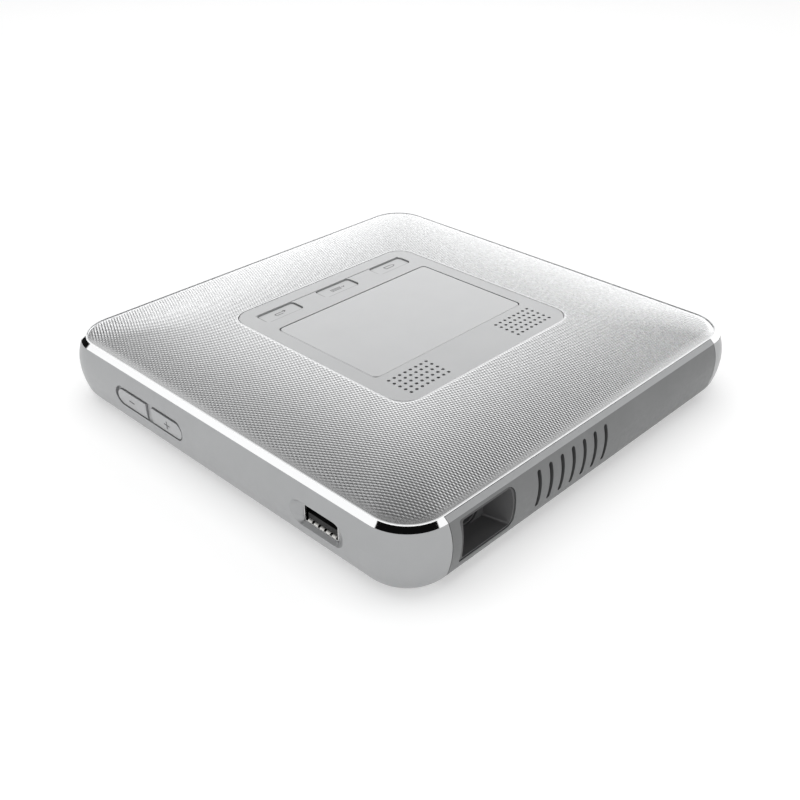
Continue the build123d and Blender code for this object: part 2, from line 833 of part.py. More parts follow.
touchpad.part.label = "touchpad"
export_step(touchpad.part, "parts/touchpad.step")

for key_name, key_x in key_columns.items():
    with BuildPart() as key:
        with BuildSketch(Plane.XY.offset(key_flange_bottom)):
            with Locations((key_x, key_y)):
                RectangleRounded(key_width, key_depth, key_radius - key_gap)
        extrude(amount=key_top - key_flange_bottom)
        chamfer(key.faces().sort_by(Axis.Z)[-1].edges(), 0.2)
        with BuildSketch(Plane.XY.offset(key_flange_bottom)):
            with Locations((key_x, key_y)):
                Rectangle(key_width + 2 * key_flange_margin, key_depth + 2 * key_flange_margin)
        extrude(amount=key_flange_thickness)
        with BuildSketch(Plane.XY.offset(stem_bottom)):
            with Locations((key_x, key_y)):
                Circle(key_stem_radius)
        extrude(amount=key_stem_length)
    key.part.label = key_name
    export_step(key.part, f"parts/{key_name}.step")

key_board_width = 2 * (key_spacing + key_width / 2) + 3.0
with BuildPart() as key_board:
    with BuildSketch(Plane.XY.offset(key_board_top - board_thickness)):
        with Locations((0, key_y)):
            Rectangle(key_board_width, key_depth + 3.0)
        with Locations(*panel_posts):
            Circle(screw_radius, mode=Mode.SUBTRACT)
    extrude(amount=board_thickness)

key_board.part.label = "key_board"
export_step(key_board.part, "parts/key_board.step")

with BuildPart() as key_domes:
    with BuildSketch(Plane.XY.offset(key_board_top)):
        with Locations(*[(x, key_y) for x in key_columns.values()]):
            Circle(dome_radius)
    extrude(amount=dome_height)
    fillet(key_domes.edges().group_by(Axis.Z)[-1], dome_height * 0.8)

key_domes.part.label = "key_domes"
export_step(key_domes.part, "parts/key_domes.step")

with BuildPart() as panel_screws:
    with BuildSketch(Plane.XY.offset(key_board_top - board_thickness - 0.8)):
        with Locations(*panel_posts):
            Circle(screw_radius * 1.5)
    extrude(amount=0.8)
    with BuildSketch(Plane.XY.offset(key_board_top - board_thickness)):
        with Locations(*panel_posts):
            Circle(screw_radius * 0.7)
    extrude(amount=board_thickness + 1.6)

panel_screws.part.label = "panel_screws"
export_step(panel_screws.part, "parts/panel_screws.step")

with BuildPart() as touch_board:
    with BuildSketch(Plane.XY.offset(panel_underside - board_thickness)):
        with Locations((0, pad_centre_y)):
            Rectangle(pad_width - 2 * touch_board_margin, pad_depth - 2 * touch_board_margin)
    extrude(amount=board_thickness)

touch_board.part.label = "touch_board"
export_step(touch_board.part, "parts/touch_board.step")

with BuildPart() as speaker_meshes:
    with BuildSketch(Plane.XY.offset(panel_underside - mesh_thickness)):
        with Locations(*speaker_places):
            RectangleRounded(speaker_width - 1, speaker_depth - 0.6, 1.0)
    extrude(amount=mesh_thickness)

speaker_meshes.part.label = "speaker_meshes"
export_step(speaker_meshes.part, "parts/speaker_meshes.step")

speaker_top = panel_underside - mesh_thickness
for speaker_name, place_x in (("speaker_left", -speaker_x), ("speaker_right", speaker_x)):
    with BuildPart() as speaker:
        with BuildSketch(Plane.XY.offset(speaker_top - speaker_height)):
            with Locations((place_x, speaker_y)):
                RectangleRounded(speaker_width, speaker_depth, 2.0)
        extrude(amount=speaker_height)
        # diaphragm set back from the front, with a domed middle
        with BuildSketch(Plane.XY.offset(speaker_top - 1.2)):
            with Locations((place_x, speaker_y)):
                RectangleRounded(speaker_width - 2.4, speaker_depth - 2.4, 1.4)
        extrude(amount=2.0, mode=Mode.SUBTRACT)
        with BuildSketch(Plane.XY.offset(speaker_top - 1.2)):
            with Locations((place_x, speaker_y)):
                Circle(speaker_depth / 4)
        extrude(amount=0.6)
        # magnet pot
        with BuildSketch(Plane.XY.offset(speaker_top - speaker_height - 1.4)):
            with Locations((place_x, speaker_y)):
                Circle(speaker_depth / 3)
        extrude(amount=1.4)
    speaker.part.label = speaker_name
    export_step(speaker.part, f"parts/{speaker_name}.step")


# ---------------------------------------------------------------- side keys
volume_key_shift = (volume_length + volume_divider) / 4
volume_sides = {"volume_down_key": 1, "volume_up_key": -1}

for key_name, sense in volume_sides.items():
    with BuildPart() as key:
        with BuildSketch(side_plane(LEFT).offset(volume_y)):
            add(side_region(side_flange_outer - fit_gap, side_key_sink))
        extrude(amount=volume_length, both=True)
        with BuildSketch(facing_plane(LEFT, side_flange_outer - fit_gap)):
            with Locations((-volume_y, volume_key_z)):
                SlotOverall(
                    volume_length - 2 * volume_key_margin,
                    volume_height - 2 * volume_key_margin,
                )
                with Locations((sense * volume_length / 2 - sense * volume_divider / 2, 0)):
                    Rectangle(volume_length, volume_height, mode=Mode.SUBTRACT)
        extrude(amount=body_half, mode=Mode.INTERSECT)
        # flange behind the wall, and the stem that presses the dome
        with BuildSketch(facing_plane(LEFT, side_flange_outer - side_flange_thickness)):
            with Locations((-volume_y - sense * volume_key_shift, volume_key_z)):
                RectangleRounded(
                    (volume_length - volume_divider) / 2 - volume_key_margin,
                    volume_height - 2 * volume_key_margin + 2 * side_flange_margin,
                    2.0,
                )
        extrude(amount=side_flange_thickness)
        with BuildSketch(facing_plane(LEFT, side_stem_end)):
            with Locations((-volume_y - sense * volume_key_shift, volume_key_z)):
                Circle(key_stem_radius)
        extrude(amount=side_flange_outer - side_stem_end)
    key.part.label = key_name
    export_step(key.part, f"parts/{key_name}.step")

with BuildPart() as power_key:
    with BuildSketch(side_plane(RIGHT).offset(-power_y)):
        add(side_region(side_flange_outer - fit_gap, side_key_sink))
    extrude(amount=power_length, both=True)
    with BuildSketch(facing_plane(RIGHT, side_flange_outer - fit_gap)):
        with Locations((power_y, power_z)):
            SlotOverall(power_length, power_height)
    extrude(amount=body_half, mode=Mode.INTERSECT)
    with BuildSketch(facing_plane(RIGHT, side_flange_outer - side_flange_thickness)):
        with Locations((power_y, power_z)):
            SlotOverall(
                power_length + 2 * side_flange_margin,
                power_height + 2 * side_flange_margin,
            )
    extrude(amount=side_flange_thickness)
    with BuildSketch(facing_plane(RIGHT, side_stem_end)):
        with Locations((power_y, power_z)):
            Circle(key_stem_radius)
    extrude(amount=side_flange_outer - side_stem_end)

power_key.part.label = "power_key"
export_step(power_key.part, "parts/power_key.step")

side_board_inner = side_board_outer - board_thickness
volume_board_length = volume_length + 2 * side_rib_gap - 2 * fit_gap
with BuildPart() as volume_board:
    with BuildSketch(facing_plane(LEFT, side_board_inner)):
        with Locations((-volume_y, volume_z)):
            Rectangle(volume_board_length, side_board_height)
    extrude(amount=board_thickness)

volume_board.part.label = "volume_board"
export_step(volume_board.part, "parts/volume_board.step")

with BuildPart() as volume_domes:
    with BuildSketch(facing_plane(LEFT, side_board_outer)):
        with Locations((-volume_y, volume_key_z)):
            with Locations((-volume_key_shift, 0), (volume_key_shift, 0)):
                Circle(dome_radius)
    extrude(amount=dome_height)

volume_domes.part.label = "volume_domes"
export_step(volume_domes.part, "parts/volume_domes.step")

with BuildPart() as power_board:
    with BuildSketch(facing_plane(RIGHT, side_board_inner)):
        with Locations((power_y, volume_z)):
            Rectangle(power_length + 2 * side_rib_gap - 2 * fit_gap, side_board_height)
    extrude(amount=board_thickness)

power_board.part.label = "power_board"
export_step(power_board.part, "parts/power_board.step")

with BuildPart() as power_dome:
    with BuildSketch(facing_plane(RIGHT, side_board_outer)):
        with Locations((power_y, power_z)):
            Circle(dome_radius)
    extrude(amount=dome_height)

power_dome.part.label = "power_dome"
export_step(power_dome.part, "parts/power_dome.step")


# ---------------------------------------------------------------- lens hood
with BuildPart() as lens_hood:
    with BuildSketch(side_plane(FRONT).offset(-window_x)):
        add(side_region(hood_back - hood_back_thickness, side_key_sink))
    extrude(amount=window_width, both=True)
    with BuildSketch(facing_plane(FRONT, hood_back - hood_back_thickness)):
        with Locations((window_x, window_z)):
            Rectangle(window_width - 2 * fit_gap, window_height - 2 * fit_gap)
        fillet(vertices().sort_by(Axis.X)[:2], window_tight_radius)
        fillet(vertices().sort_by(Axis.X)[-2:], window_radius)
    extrude(amount=body_half, mode=Mode.INTERSECT)
    # flared throat down to the back wall, and the hole for the lens
    with BuildSketch(facing_plane(FRONT, hood_back)):
        with Locations((lens_x, lens_z)):
            RectangleRounded(hood_throat_width, hood_throat_height, 0.6)
    with BuildSketch(facing_plane(FRONT, body_half + 0.5)):
        with Locations((window_x, window_z)):
            RectangleRounded(
                window_width - 2 * (fit_gap + hood_wall),
                window_height - 2 * (fit_gap + hood_wall),
                window_tight_radius,
            )
    loft(mode=Mode.SUBTRACT)
    with BuildSketch(facing_plane(FRONT, housing_front)):
        with Locations((lens_x, lens_z)):
            Circle(nose_hole_radius)
    extrude(amount=hood_back - housing_front, mode=Mode.SUBTRACT)

lens_hood.part.label = "lens_hood"
export_step(lens_hood.part, "parts/lens_hood.step")


# ---------------------------------------------------------------- lens and focus
lens_axis = (lens_x, lens_z)
screw_place = (lens_x + focus_arm_reach, lens_z)
guide_place = (lens_x - guide_reach, lens_z)

with BuildPart() as lens_housing:
    with BuildSketch(facing_plane(FRONT, housing_back)):
        with Locations(lens_axis):
            Circle(housing_radius)
    extrude(amount=housing_front - housing_back)
    # ears that hold the guide rod and the focus motor
    with BuildSketch(facing_plane(FRONT, focus_motor_front - focus_motor_length)):
        with Locations(guide_place):
            Circle(ear_radius)
        with Locations((lens_x - guide_reach / 2, lens_z)):
            Rectangle(guide_reach, ear_radius)
    extrude(amount=focus_motor_length + 2)
    with BuildSketch(facing_plane(FRONT, focus_motor_front)):
        with Locations(screw_place):
            Circle(focus_motor_radius)
        with Locations((lens_x + focus_arm_reach / 2, lens_z)):
            Rectangle(focus_arm_reach, ear_radius * 2)
    extrude(amount=1.2)
    with BuildSketch(facing_plane(FRONT, housing_back)):
        with Locations(lens_axis):
            Circle(barrel_radius + running_gap)
    extrude(amount=housing_front, mode=Mode.SUBTRACT)
    with BuildSketch(facing_plane(FRONT, housing_back)):
        with Locations(guide_place):
            Circle(guide_radius)
        with Locations(screw_place):
            Circle(focus_screw_radius + running_gap)
    extrude(amount=housing_front, mode=Mode.SUBTRACT)

lens_housing.part.label = "lens_housing"
export_step(lens_housing.part, "parts/lens_housing.step")

with BuildPart() as lens_barrel:
    with BuildSketch(facing_plane(FRONT, barrel_back)):
        with Locations(lens_axis):
            Circle(barrel_radius)
    extrude(amount=barrel_front - barrel_back)
    with BuildSketch(facing_plane(FRONT, barrel_front)):
        with Locations(lens_axis):
            Circle(nose_radius)
    extrude(amount=nose_front - barrel_front)
    # collar with the arm that the focus screw drives and the ear on the rod
    with BuildSketch(facing_plane(FRONT, collar_back)):
        with Locations(lens_axis):
            Circle(collar_radius)
        with Locations(screw_place, guide_place):
            Circle(ear_radius)
        with Locations((lens_x + (focus_arm_reach - guide_reach) / 2, lens_z)):
            Rectangle(focus_arm_reach + guide_reach, ear_radius * 2)
    extrude(amount=collar_thickness)
    with BuildSketch(facing_plane(FRONT, collar_back)):
        with Locations(screw_place):
            Circle(focus_screw_radius + running_gap)
        with Locations(guide_place):
            Circle(guide_radius + running_gap)
    extrude(amount=collar_thickness, mode=Mode.SUBTRACT)
    # light path, with a seat for a glass at each end
    with BuildSketch(facing_plane(FRONT, barrel_back)):
        with Locations(lens_axis):
            Circle(barrel_bore_radius)
    extrude(amount=nose_front, mode=Mode.SUBTRACT)
    with BuildSketch(facing_plane(FRONT, nose_front - barrel_glass_inset - glass_thickness)):
        with Locations(lens_axis):
            Circle(glass_radius)
    extrude(amount=glass_thickness + barrel_glass_inset, mode=Mode.SUBTRACT)
    with BuildSketch(facing_plane(FRONT, barrel_back)):
        with Locations(lens_axis):
            Circle(barrel_radius - 1.0)
    extrude(amount=glass_thickness + barrel_glass_inset, mode=Mode.SUBTRACT)

lens_barrel.part.label = "lens_barrel"
export_step(lens_barrel.part, "parts/lens_barrel.step")


def dome_radius_of(radius, bulge):
    """Radius of the sphere whose cap of this radius stands out by bulge."""
    return (radius**2 + bulge**2) / (2 * bulge)


front_seat = nose_front - barrel_glass_inset - glass_thickness
with BuildPart() as front_lens:
    with BuildSketch(facing_plane(FRONT, front_seat)):
        with Locations(lens_axis):
            Circle(glass_radius)
    extrude(amount=glass_thickness + glass_bulge)
    ball = dome_radius_of(glass_radius, glass_bulge)
    with Locations((lens_x, ball - front_seat - glass_thickness - glass_bulge, lens_z)):
        Sphere(ball, mode=Mode.INTERSECT)

front_lens.part.label = "front_lens"
export_step(front_lens.part, "parts/front_lens.step")

rear_glass_radius = barrel_radius - 1.0
with BuildPart() as rear_lens:
    with BuildSketch(facing_plane(FRONT, barrel_back + barrel_glass_inset - glass_bulge)):
        with Locations(lens_axis):
            Circle(rear_glass_radius)
    extrude(amount=glass_thickness + glass_bulge)
    ball = dome_radius_of(rear_glass_radius, glass_bulge)
    with Locations((lens_x, glass_bulge - barrel_back - barrel_glass_inset - ball, lens_z)):
        Sphere(ball, mode=Mode.INTERSECT)

rear_lens.part.label = "rear_lens"
export_step(rear_lens.part, "parts/rear_lens.step")

with BuildPart() as guide_rod:
    with BuildSketch(facing_plane(FRONT, focus_motor_front - focus_motor_length)):
        with Locations(guide_place):
            Circle(guide_radius)
    extrude(amount=focus_screw_tip - focus_motor_front + focus_motor_length)

guide_rod.part.label = "guide_rod"
export_step(guide_rod.part, "parts/guide_rod.step")

with BuildPart() as focus_motor:
    with BuildSketch(facing_plane(FRONT, focus_motor_front - focus_motor_length)):
        with Locations(screw_place):
            Circle(focus_motor_radius)
    extrude(amount=focus_motor_length)
    with BuildSketch(facing_plane(FRONT, focus_motor_front - focus_motor_length + 1)):
        with Locations(screw_place):
            Circle(focus_screw_radius + running_gap)
    extrude(amount=focus_motor_length, mode=Mode.SUBTRACT)

focus_motor.part.label = "focus_motor"
export_step(focus_motor.part, "parts/focus_motor.step")

with BuildPart() as focus_screw:
    with BuildSketch(facing_plane(FRONT, focus_motor_front - focus_motor_length + 1 + fit_gap)):
        with Locations(screw_place):
            Circle(focus_screw_radius)
    extrude(amount=focus_screw_tip - focus_motor_front + focus_motor_length - 1 - fit_gap)

focus_screw.part.label = "focus_screw"
export_step(focus_screw.part, "parts/focus_screw.step")


# ---------------------------------------------------------------- optical engine
engine_x = (engine_left + engine_right) / 2
engine_y = (engine_back - housing_back) / 2
engine_width = engine_right - engine_left
engine_bottom = bottom_inside + engine_foot
port_x = engine_x + engine_width / 4

with BuildPart() as optical_engine:
    with BuildSketch(Plane.XY.offset(engine_bottom)):
        with Locations((engine_x, engine_y)):
            Rectangle(engine_width, engine_depth)
    extrude(amount=engine_top - engine_bottom)
    with BuildSketch(Plane.XY.offset(engine_bottom + engine_wall)):
        with Locations((engine_x, engine_y)):
            Rectangle(engine_width - 2 * engine_wall, engine_depth - 2 * engine_wall)
    extrude(amount=engine_top - engine_bottom - 2 * engine_wall, mode=Mode.SUBTRACT)
    with BuildSketch(facing_plane(FRONT, -engine_back)):
        with Locations(lens_axis):
            Circle(barrel_radius)
    extrude(amount=housing_back + engine_back - engine_wall + 10, mode=Mode.SUBTRACT)
    with BuildSketch(Plane.XY.offset(bottom_inside)):
        with Locations((engine_x, engine_y)):
            with GridLocations(engine_width - 6, engine_depth - 6, 2, 2):
                Circle(post_radius - 0.6)
    extrude(amount=engine_foot)

optical_engine.part.label = "optical_engine"
export_step(optical_engine.part, "parts/optical_engine.step")

with BuildPart() as mirror_chip_board:
    with BuildSketch(facing_plane(LEFT, -engine_left)):
        with Locations((-engine_y, led_z)):
            Rectangle(chip_board_size, led_size)
    extrude(amount=board_thickness)

mirror_chip_board.part.label = "mirror_chip_board"
export_step(mirror_chip_board.part, "parts/mirror_chip_board.step")

with BuildPart() as led_modules:
    with BuildSketch(facing_plane(BACK, engine_back)):
        with Locations(*[(-x, led_z) for x in led_back_xs]):
            Rectangle(led_size, led_size)
    extrude(amount=led_thickness)
    with BuildSketch(facing_plane(RIGHT, engine_right)):
        with Locations((led_side_y, led_z)):
            Rectangle(led_size, led_size)
    extrude(amount=led_thickness)

led_modules.part.label = "led_modules"
export_step(led_modules.part, "parts/led_modules.step")


# ---------------------------------------------------------------- cooling
sink_y = sink_depth / 2 - sink_front
sink_top = ledge_top + sink_fin_height + sink_base
fin_pitch = (sink_width - sink_fin_thickness) / (sink_fins - 1)

with BuildPart() as heat_sink:
    with BuildSketch(Plane.XY.offset(ledge_top)):
        with Locations((sink_x, sink_y)):
            with GridLocations(fin_pitch, 1, sink_fins, 1):
                Rectangle(sink_fin_thickness, sink_depth)
    extrude(amount=sink_fin_height)
    with BuildSketch(Plane.XY.offset(ledge_top + sink_fin_height)):
        with Locations((sink_x, sink_y)):
            Rectangle(sink_width, sink_depth)
    extrude(amount=sink_base)

heat_sink.part.label = "heat_sink"
export_step(heat_sink.part, "parts/heat_sink.step")

pipe_z = sink_top + pipe_radius
pipe_x = engine_right + led_thickness + pipe_radius
pipe_y = engine_back + led_thickness + pipe_radius
with BuildPart() as heat_pipe:
    with BuildLine() as pipe_path:
        FilletPolyline(
            (led_back_xs[0], pipe_y, pipe_z),
            (pipe_x, pipe_y, pipe_z),
            (pipe_x, -sink_front + pipe_radius, pipe_z),
            radius=pipe_bend,
        )
    with BuildSketch(Plane(origin=(led_back_xs[0], pipe_y, pipe_z), z_dir=(1, 0, 0))):
        Circle(pipe_radius)
    sweep(path=pipe_path.line)

heat_pipe.part.label = "heat_pipe"
export_step(heat_pipe.part, "parts/heat_pipe.step")

fan_base = bottom_inside + fan_leg
fan_top = fan_base + fan_height
with BuildPart() as fan_housing:
    with BuildSketch(Plane.XY.offset(fan_base)):
        with Locations((fan_x, fan_y)):
            RectangleRounded(fan_size, fan_size, fan_corner_radius)
    extrude(amount=fan_height)
    with BuildSketch(Plane.XY.offset(fan_base + fan_floor)):
        with Locations((fan_x, fan_y)):
            Circle(fan_cavity_radius)
        with Locations((fan_x, fan_y - fan_size / 2)):
            Rectangle(2 * fan_cavity_radius - 3, fan_size)
    extrude(amount=fan_height, mode=Mode.SUBTRACT)
    # inlet in the floor, crossed by the spokes that hold the bush
    with BuildSketch(Plane.XY.offset(fan_base)):
        with Locations((fan_x, fan_y)):
            Circle(fan_inlet_radius)
    extrude(amount=fan_floor, mode=Mode.SUBTRACT)
    with BuildSketch(Plane.XY.offset(fan_base)):
        with Locations((fan_x, fan_y)):
            with PolarLocations(fan_inlet_radius / 2 + 0.5, 3):
                Rectangle(fan_inlet_radius + 1, fan_spoke_width)
    extrude(amount=fan_floor)
    with BuildSketch(Plane.XY.offset(fan_base)):
        with Locations((fan_x, fan_y)):
            Circle(fan_bush_radius)
    extrude(amount=fan_bush_height)
    with BuildSketch(Plane.XY.offset(fan_base)):
        with Locations((fan_x, fan_y)):
            Circle(fan_shaft_radius + running_gap)
    extrude(amount=fan_height, mode=Mode.SUBTRACT)
    with BuildSketch(Plane.XY.offset(bottom_inside)):
        with Locations((fan_x, fan_y)):
            with GridLocations(fan_size - 3, fan_size - 3, 2, 2):
                Circle(fan_leg_radius)
    extrude(amount=fan_leg)

fan_housing.part.label = "fan_housing"
export_step(fan_housing.part, "parts/fan_housing.step")

with BuildPart() as fan_cover:
    with BuildSketch(Plane.XY.offset(fan_top)):
        with Locations((fan_x, fan_y)):
            RectangleRounded(fan_size, fan_size, fan_corner_radius)
            Circle(fan_inlet_radius - 2, mode=Mode.SUBTRACT)
    extrude(amount=fan_cover_thickness)

fan_cover.part.label = "fan_cover"
export_step(fan_cover.part, "parts/fan_cover.step")

hub_bottom = fan_base + fan_bush_height + running_gap
with BuildPart() as fan_rotor:
    with BuildSketch(Plane.XY.offset(hub_bottom)):
        with Locations((fan_x, fan_y)):
            Circle(fan_hub_radius)
    extrude(amount=fan_top - fan_play - hub_bottom)
    with BuildSketch(Plane.XY.offset(hub_bottom)):
        with Locations((fan_x, fan_y)):
            with PolarLocations((fan_hub_radius + fan_blade_radius) / 2 - 0.5, fan_blades):
                Rectangle(fan_blade_radius - fan_hub_radius + 1, fan_blade_thickness)
    extrude(amount=fan_top - fan_play - hub_bottom)
    with BuildSketch(Plane.XY.offset(fan_base + 0.2)):
        with Locations((fan_x, fan_y)):
            Circle(fan_shaft_radius)
    extrude(amount=hub_bottom - fan_base - 0.2)

fan_rotor.part.label = "fan_rotor"
export_step(fan_rotor.part, "parts/fan_rotor.step")


# ---------------------------------------------------------------- boards, battery
with BuildPart() as main_board:
    with BuildSketch(Plane.XY.offset(board_bottom)):
        with Locations(((board_left + board_right) / 2, (board_front + board_back) / 2)):
            Rectangle(board_right - board_left, board_back - board_front)
        with Locations(*board_places):
            Circle(screw_hole_radius, mode=Mode.SUBTRACT)
    extrude(amount=board_thickness)

main_board.part.label = "main_board"
export_step(main_board.part, "parts/main_board.step")

with BuildPart() as board_screws:
    with BuildSketch(Plane.XY.offset(board_top)):
        with Locations(*board_places):
            Circle(screw_head_radius)
    extrude(amount=screw_head_height)
    with BuildSketch(Plane.XY.offset(bottom_inside + 1.4)):
        with Locations(*board_places):
            Circle(screw_radius)
    extrude(amount=board_top - bottom_inside - 1.4)

board_screws.part.label = "board_screws"
export_step(board_screws.part, "parts/board_screws.step")

with BuildPart() as shield_can:
    with BuildSketch(Plane.XY.offset(board_top)):
        with Locations((shield_x, shield_y)):
            Rectangle(shield_length, shield_width)
    extrude(amount=shield_height)
    with BuildSketch(Plane.XY.offset(board_top)):
        with Locations((shield_x, shield_y)):
            Rectangle(shield_length - 2 * shield_wall, shield_width - 2 * shield_wall)
    extrude(amount=shield_height - shield_wall, mode=Mode.SUBTRACT)

shield_can.part.label = "shield_can"
export_step(shield_can.part, "parts/shield_can.step")

with BuildPart() as wireless_antenna:
    with BuildSketch(Plane.XY.offset(board_top)):
        with Locations((antenna_x, antenna_y)):
            Rectangle(antenna_length, antenna_width)
    extrude(amount=antenna_height)

wireless_antenna.part.label = "wireless_antenna"
export_step(wireless_antenna.part, "parts/wireless_antenna.step")

with BuildPart() as usb_board:
    with BuildSketch(Plane.XY.offset(board_bottom)):
        with Locations(((usb_board_front + usb_board_back) / 2, usb_y)):
            Rectangle(usb_board_back - usb_board_front, usb_board_depth)
    extrude(amount=board_thickness)

usb_board.part.label = "usb_board"
export_step(usb_board.part, "parts/usb_board.step")

with BuildPart() as battery_pack:
    with BuildSketch(Plane.XY.offset(bottom_inside)):
        with Locations(((battery_left + battery_right) / 2, (battery_front + battery_back) / 2)):
            RectangleRounded(battery_right - battery_left, battery_back - battery_front, 2.5)
    extrude(amount=battery_height)
    fillet(battery_pack.edges().group_by(Axis.Z)[-1], 1.0)

battery_pack.part.label = "battery_pack"
export_step(battery_pack.part, "parts/battery_pack.step")


# ---------------------------------------------------------------- sockets
def metal_shell(turn, mouth_half, length, across, height, width, tall):
    """Thin metal socket shell, open at its mouth and closed at its back."""
    with BuildSketch(facing_plane(turn, mouth_half - length)) as outside:
        with Locations((across, height)):
            RectangleRounded(width + 2 * metal, tall + 2 * metal, metal * 2)
    extrude(outside.sketch, amount=length)
    with BuildSketch(facing_plane(turn, mouth_half - length + metal)) as inside:
        with Locations((across, height)):
            RectangleRounded(width, tall, metal)
    extrude(inside.sketch, amount=length, mode=Mode.SUBTRACT)


with BuildPart() as usb_socket:
    metal_shell(
        LEFT, usb_mouth_half, usb_length, -usb_y, socket_z, usb_open_width, usb_open_height
    )

usb_socket.part.label = "usb_socket"
export_step(usb_socket.part, "parts/usb_socket.step")

with BuildPart() as usb_tongue:
    with BuildSketch(facing_plane(LEFT, usb_mouth_half - usb_length + metal)):
        with Locations((-usb_y, socket_z - tongue_drop)):
            Rectangle(tongue_width, tongue_thickness)
    extrude(amount=usb_length - metal - tongue_recess)

usb_tongue.part.label = "usb_tongue"
export_step(usb_tongue.part, "parts/usb_tongue.step")

with BuildPart() as hdmi_socket:
    metal_shell(
        BACK, back_mouth_half, hdmi_length, -hdmi_x, hdmi_z, hdmi_open_width, hdmi_open_height
    )

hdmi_socket.part.label = "hdmi_socket"
export_step(hdmi_socket.part, "parts/hdmi_socket.step")

with BuildPart() as hdmi_tongue:
    with BuildSketch(facing_plane(BACK, back_mouth_half - hdmi_length + metal)):
        with Locations((-hdmi_x, hdmi_z)):
            Rectangle(hdmi_open_width - 2.4, 1.3)
    extrude(amount=hdmi_length - metal - tongue_recess)

hdmi_tongue.part.label = "hdmi_tongue"
export_step(hdmi_tongue.part, "parts/hdmi_tongue.step")

dc_bore_depth = back_mouth_half - socket_body_half + dc_body_length - 2.0
with BuildPart() as dc_jack:
    with BuildSketch(facing_plane(BACK, socket_body_half - dc_body_length)):
        with Locations((-dc_x, dc_z)):
            Rectangle(dc_body_width, dc_body_height)
    extrude(amount=dc_body_length)
    with BuildSketch(facing_plane(BACK, socket_body_half)):
        with Locations((-dc_x, dc_z)):
            Circle(dc_nose_radius)
    extrude(amount=back_mouth_half - socket_body_half)
    with BuildSketch(facing_plane(BACK, back_mouth_half - dc_bore_depth)):
        with Locations((-dc_x, dc_z)):
            Circle(dc_bore_radius)
    extrude(amount=dc_bore_depth, mode=Mode.SUBTRACT)

dc_jack.part.label = "dc_jack"
export_step(dc_jack.part, "parts/dc_jack.step")

with BuildPart() as dc_jack_pin:
    with BuildSketch(facing_plane(BACK, back_mouth_half - dc_bore_depth)):
        with Locations((-dc_x, dc_z)):
            Circle(dc_pin_radius)
    extrude(amount=dc_bore_depth - 1.0)
    fillet(dc_jack_pin.edges().group_by(Axis.Y)[-1], dc_pin_radius * 0.6)

dc_jack_pin.part.label = "dc_jack_pin"
export_step(dc_jack_pin.part, "parts/dc_jack_pin.step")

with BuildPart() as audio_jack:
    with BuildSketch(facing_plane(BACK, socket_body_half - audio_body_length)):
        with Locations((-audio_x, audio_z)):
            Rectangle(audio_body_width, audio_body_height)
    extrude(amount=audio_body_length)
    with BuildSketch(facing_plane(BACK, socket_body_half)):
        with Locations((-audio_x, audio_z)):
            Circle(audio_nose_radius)
    extrude(amount=back_mouth_half - socket_body_half)
    with BuildSketch(facing_plane(BACK, back_mouth_half - audio_bore_depth)):
        with Locations((-audio_x, audio_z)):
            Circle(audio_bore_radius)
    extrude(amount=audio_bore_depth, mode=Mode.SUBTRACT)

audio_jack.part.label = "audio_jack"
export_step(audio_jack.part, "parts/audio_jack.step")
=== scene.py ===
"""Dresses the palm-size square projector in its real finishes and lights it in a studio."""

import logging
import math
from dataclasses import asdict, dataclass, field, replace
from enum import Enum

import bpy
import numpy as np
from mathutils import Matrix, Vector
from mathutils.geometry import delaunay_2d_cdt


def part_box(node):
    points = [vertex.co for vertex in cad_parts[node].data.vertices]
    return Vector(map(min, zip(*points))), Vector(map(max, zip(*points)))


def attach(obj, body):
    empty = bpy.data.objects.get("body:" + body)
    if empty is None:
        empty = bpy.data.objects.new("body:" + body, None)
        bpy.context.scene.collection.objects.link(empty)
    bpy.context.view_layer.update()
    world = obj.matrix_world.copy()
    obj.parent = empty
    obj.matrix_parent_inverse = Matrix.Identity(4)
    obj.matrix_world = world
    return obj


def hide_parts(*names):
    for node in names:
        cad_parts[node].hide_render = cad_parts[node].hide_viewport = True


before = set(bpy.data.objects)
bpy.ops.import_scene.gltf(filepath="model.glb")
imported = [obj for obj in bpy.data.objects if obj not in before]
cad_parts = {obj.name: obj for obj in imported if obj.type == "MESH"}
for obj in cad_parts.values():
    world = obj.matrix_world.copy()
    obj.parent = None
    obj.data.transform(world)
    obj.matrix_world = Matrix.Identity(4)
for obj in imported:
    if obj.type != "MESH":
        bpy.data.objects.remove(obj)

MM = 0.001
CREASE = 40.0
log = logging.getLogger("projector")

Colour = tuple[float, float, float]
Point = tuple[float, float]


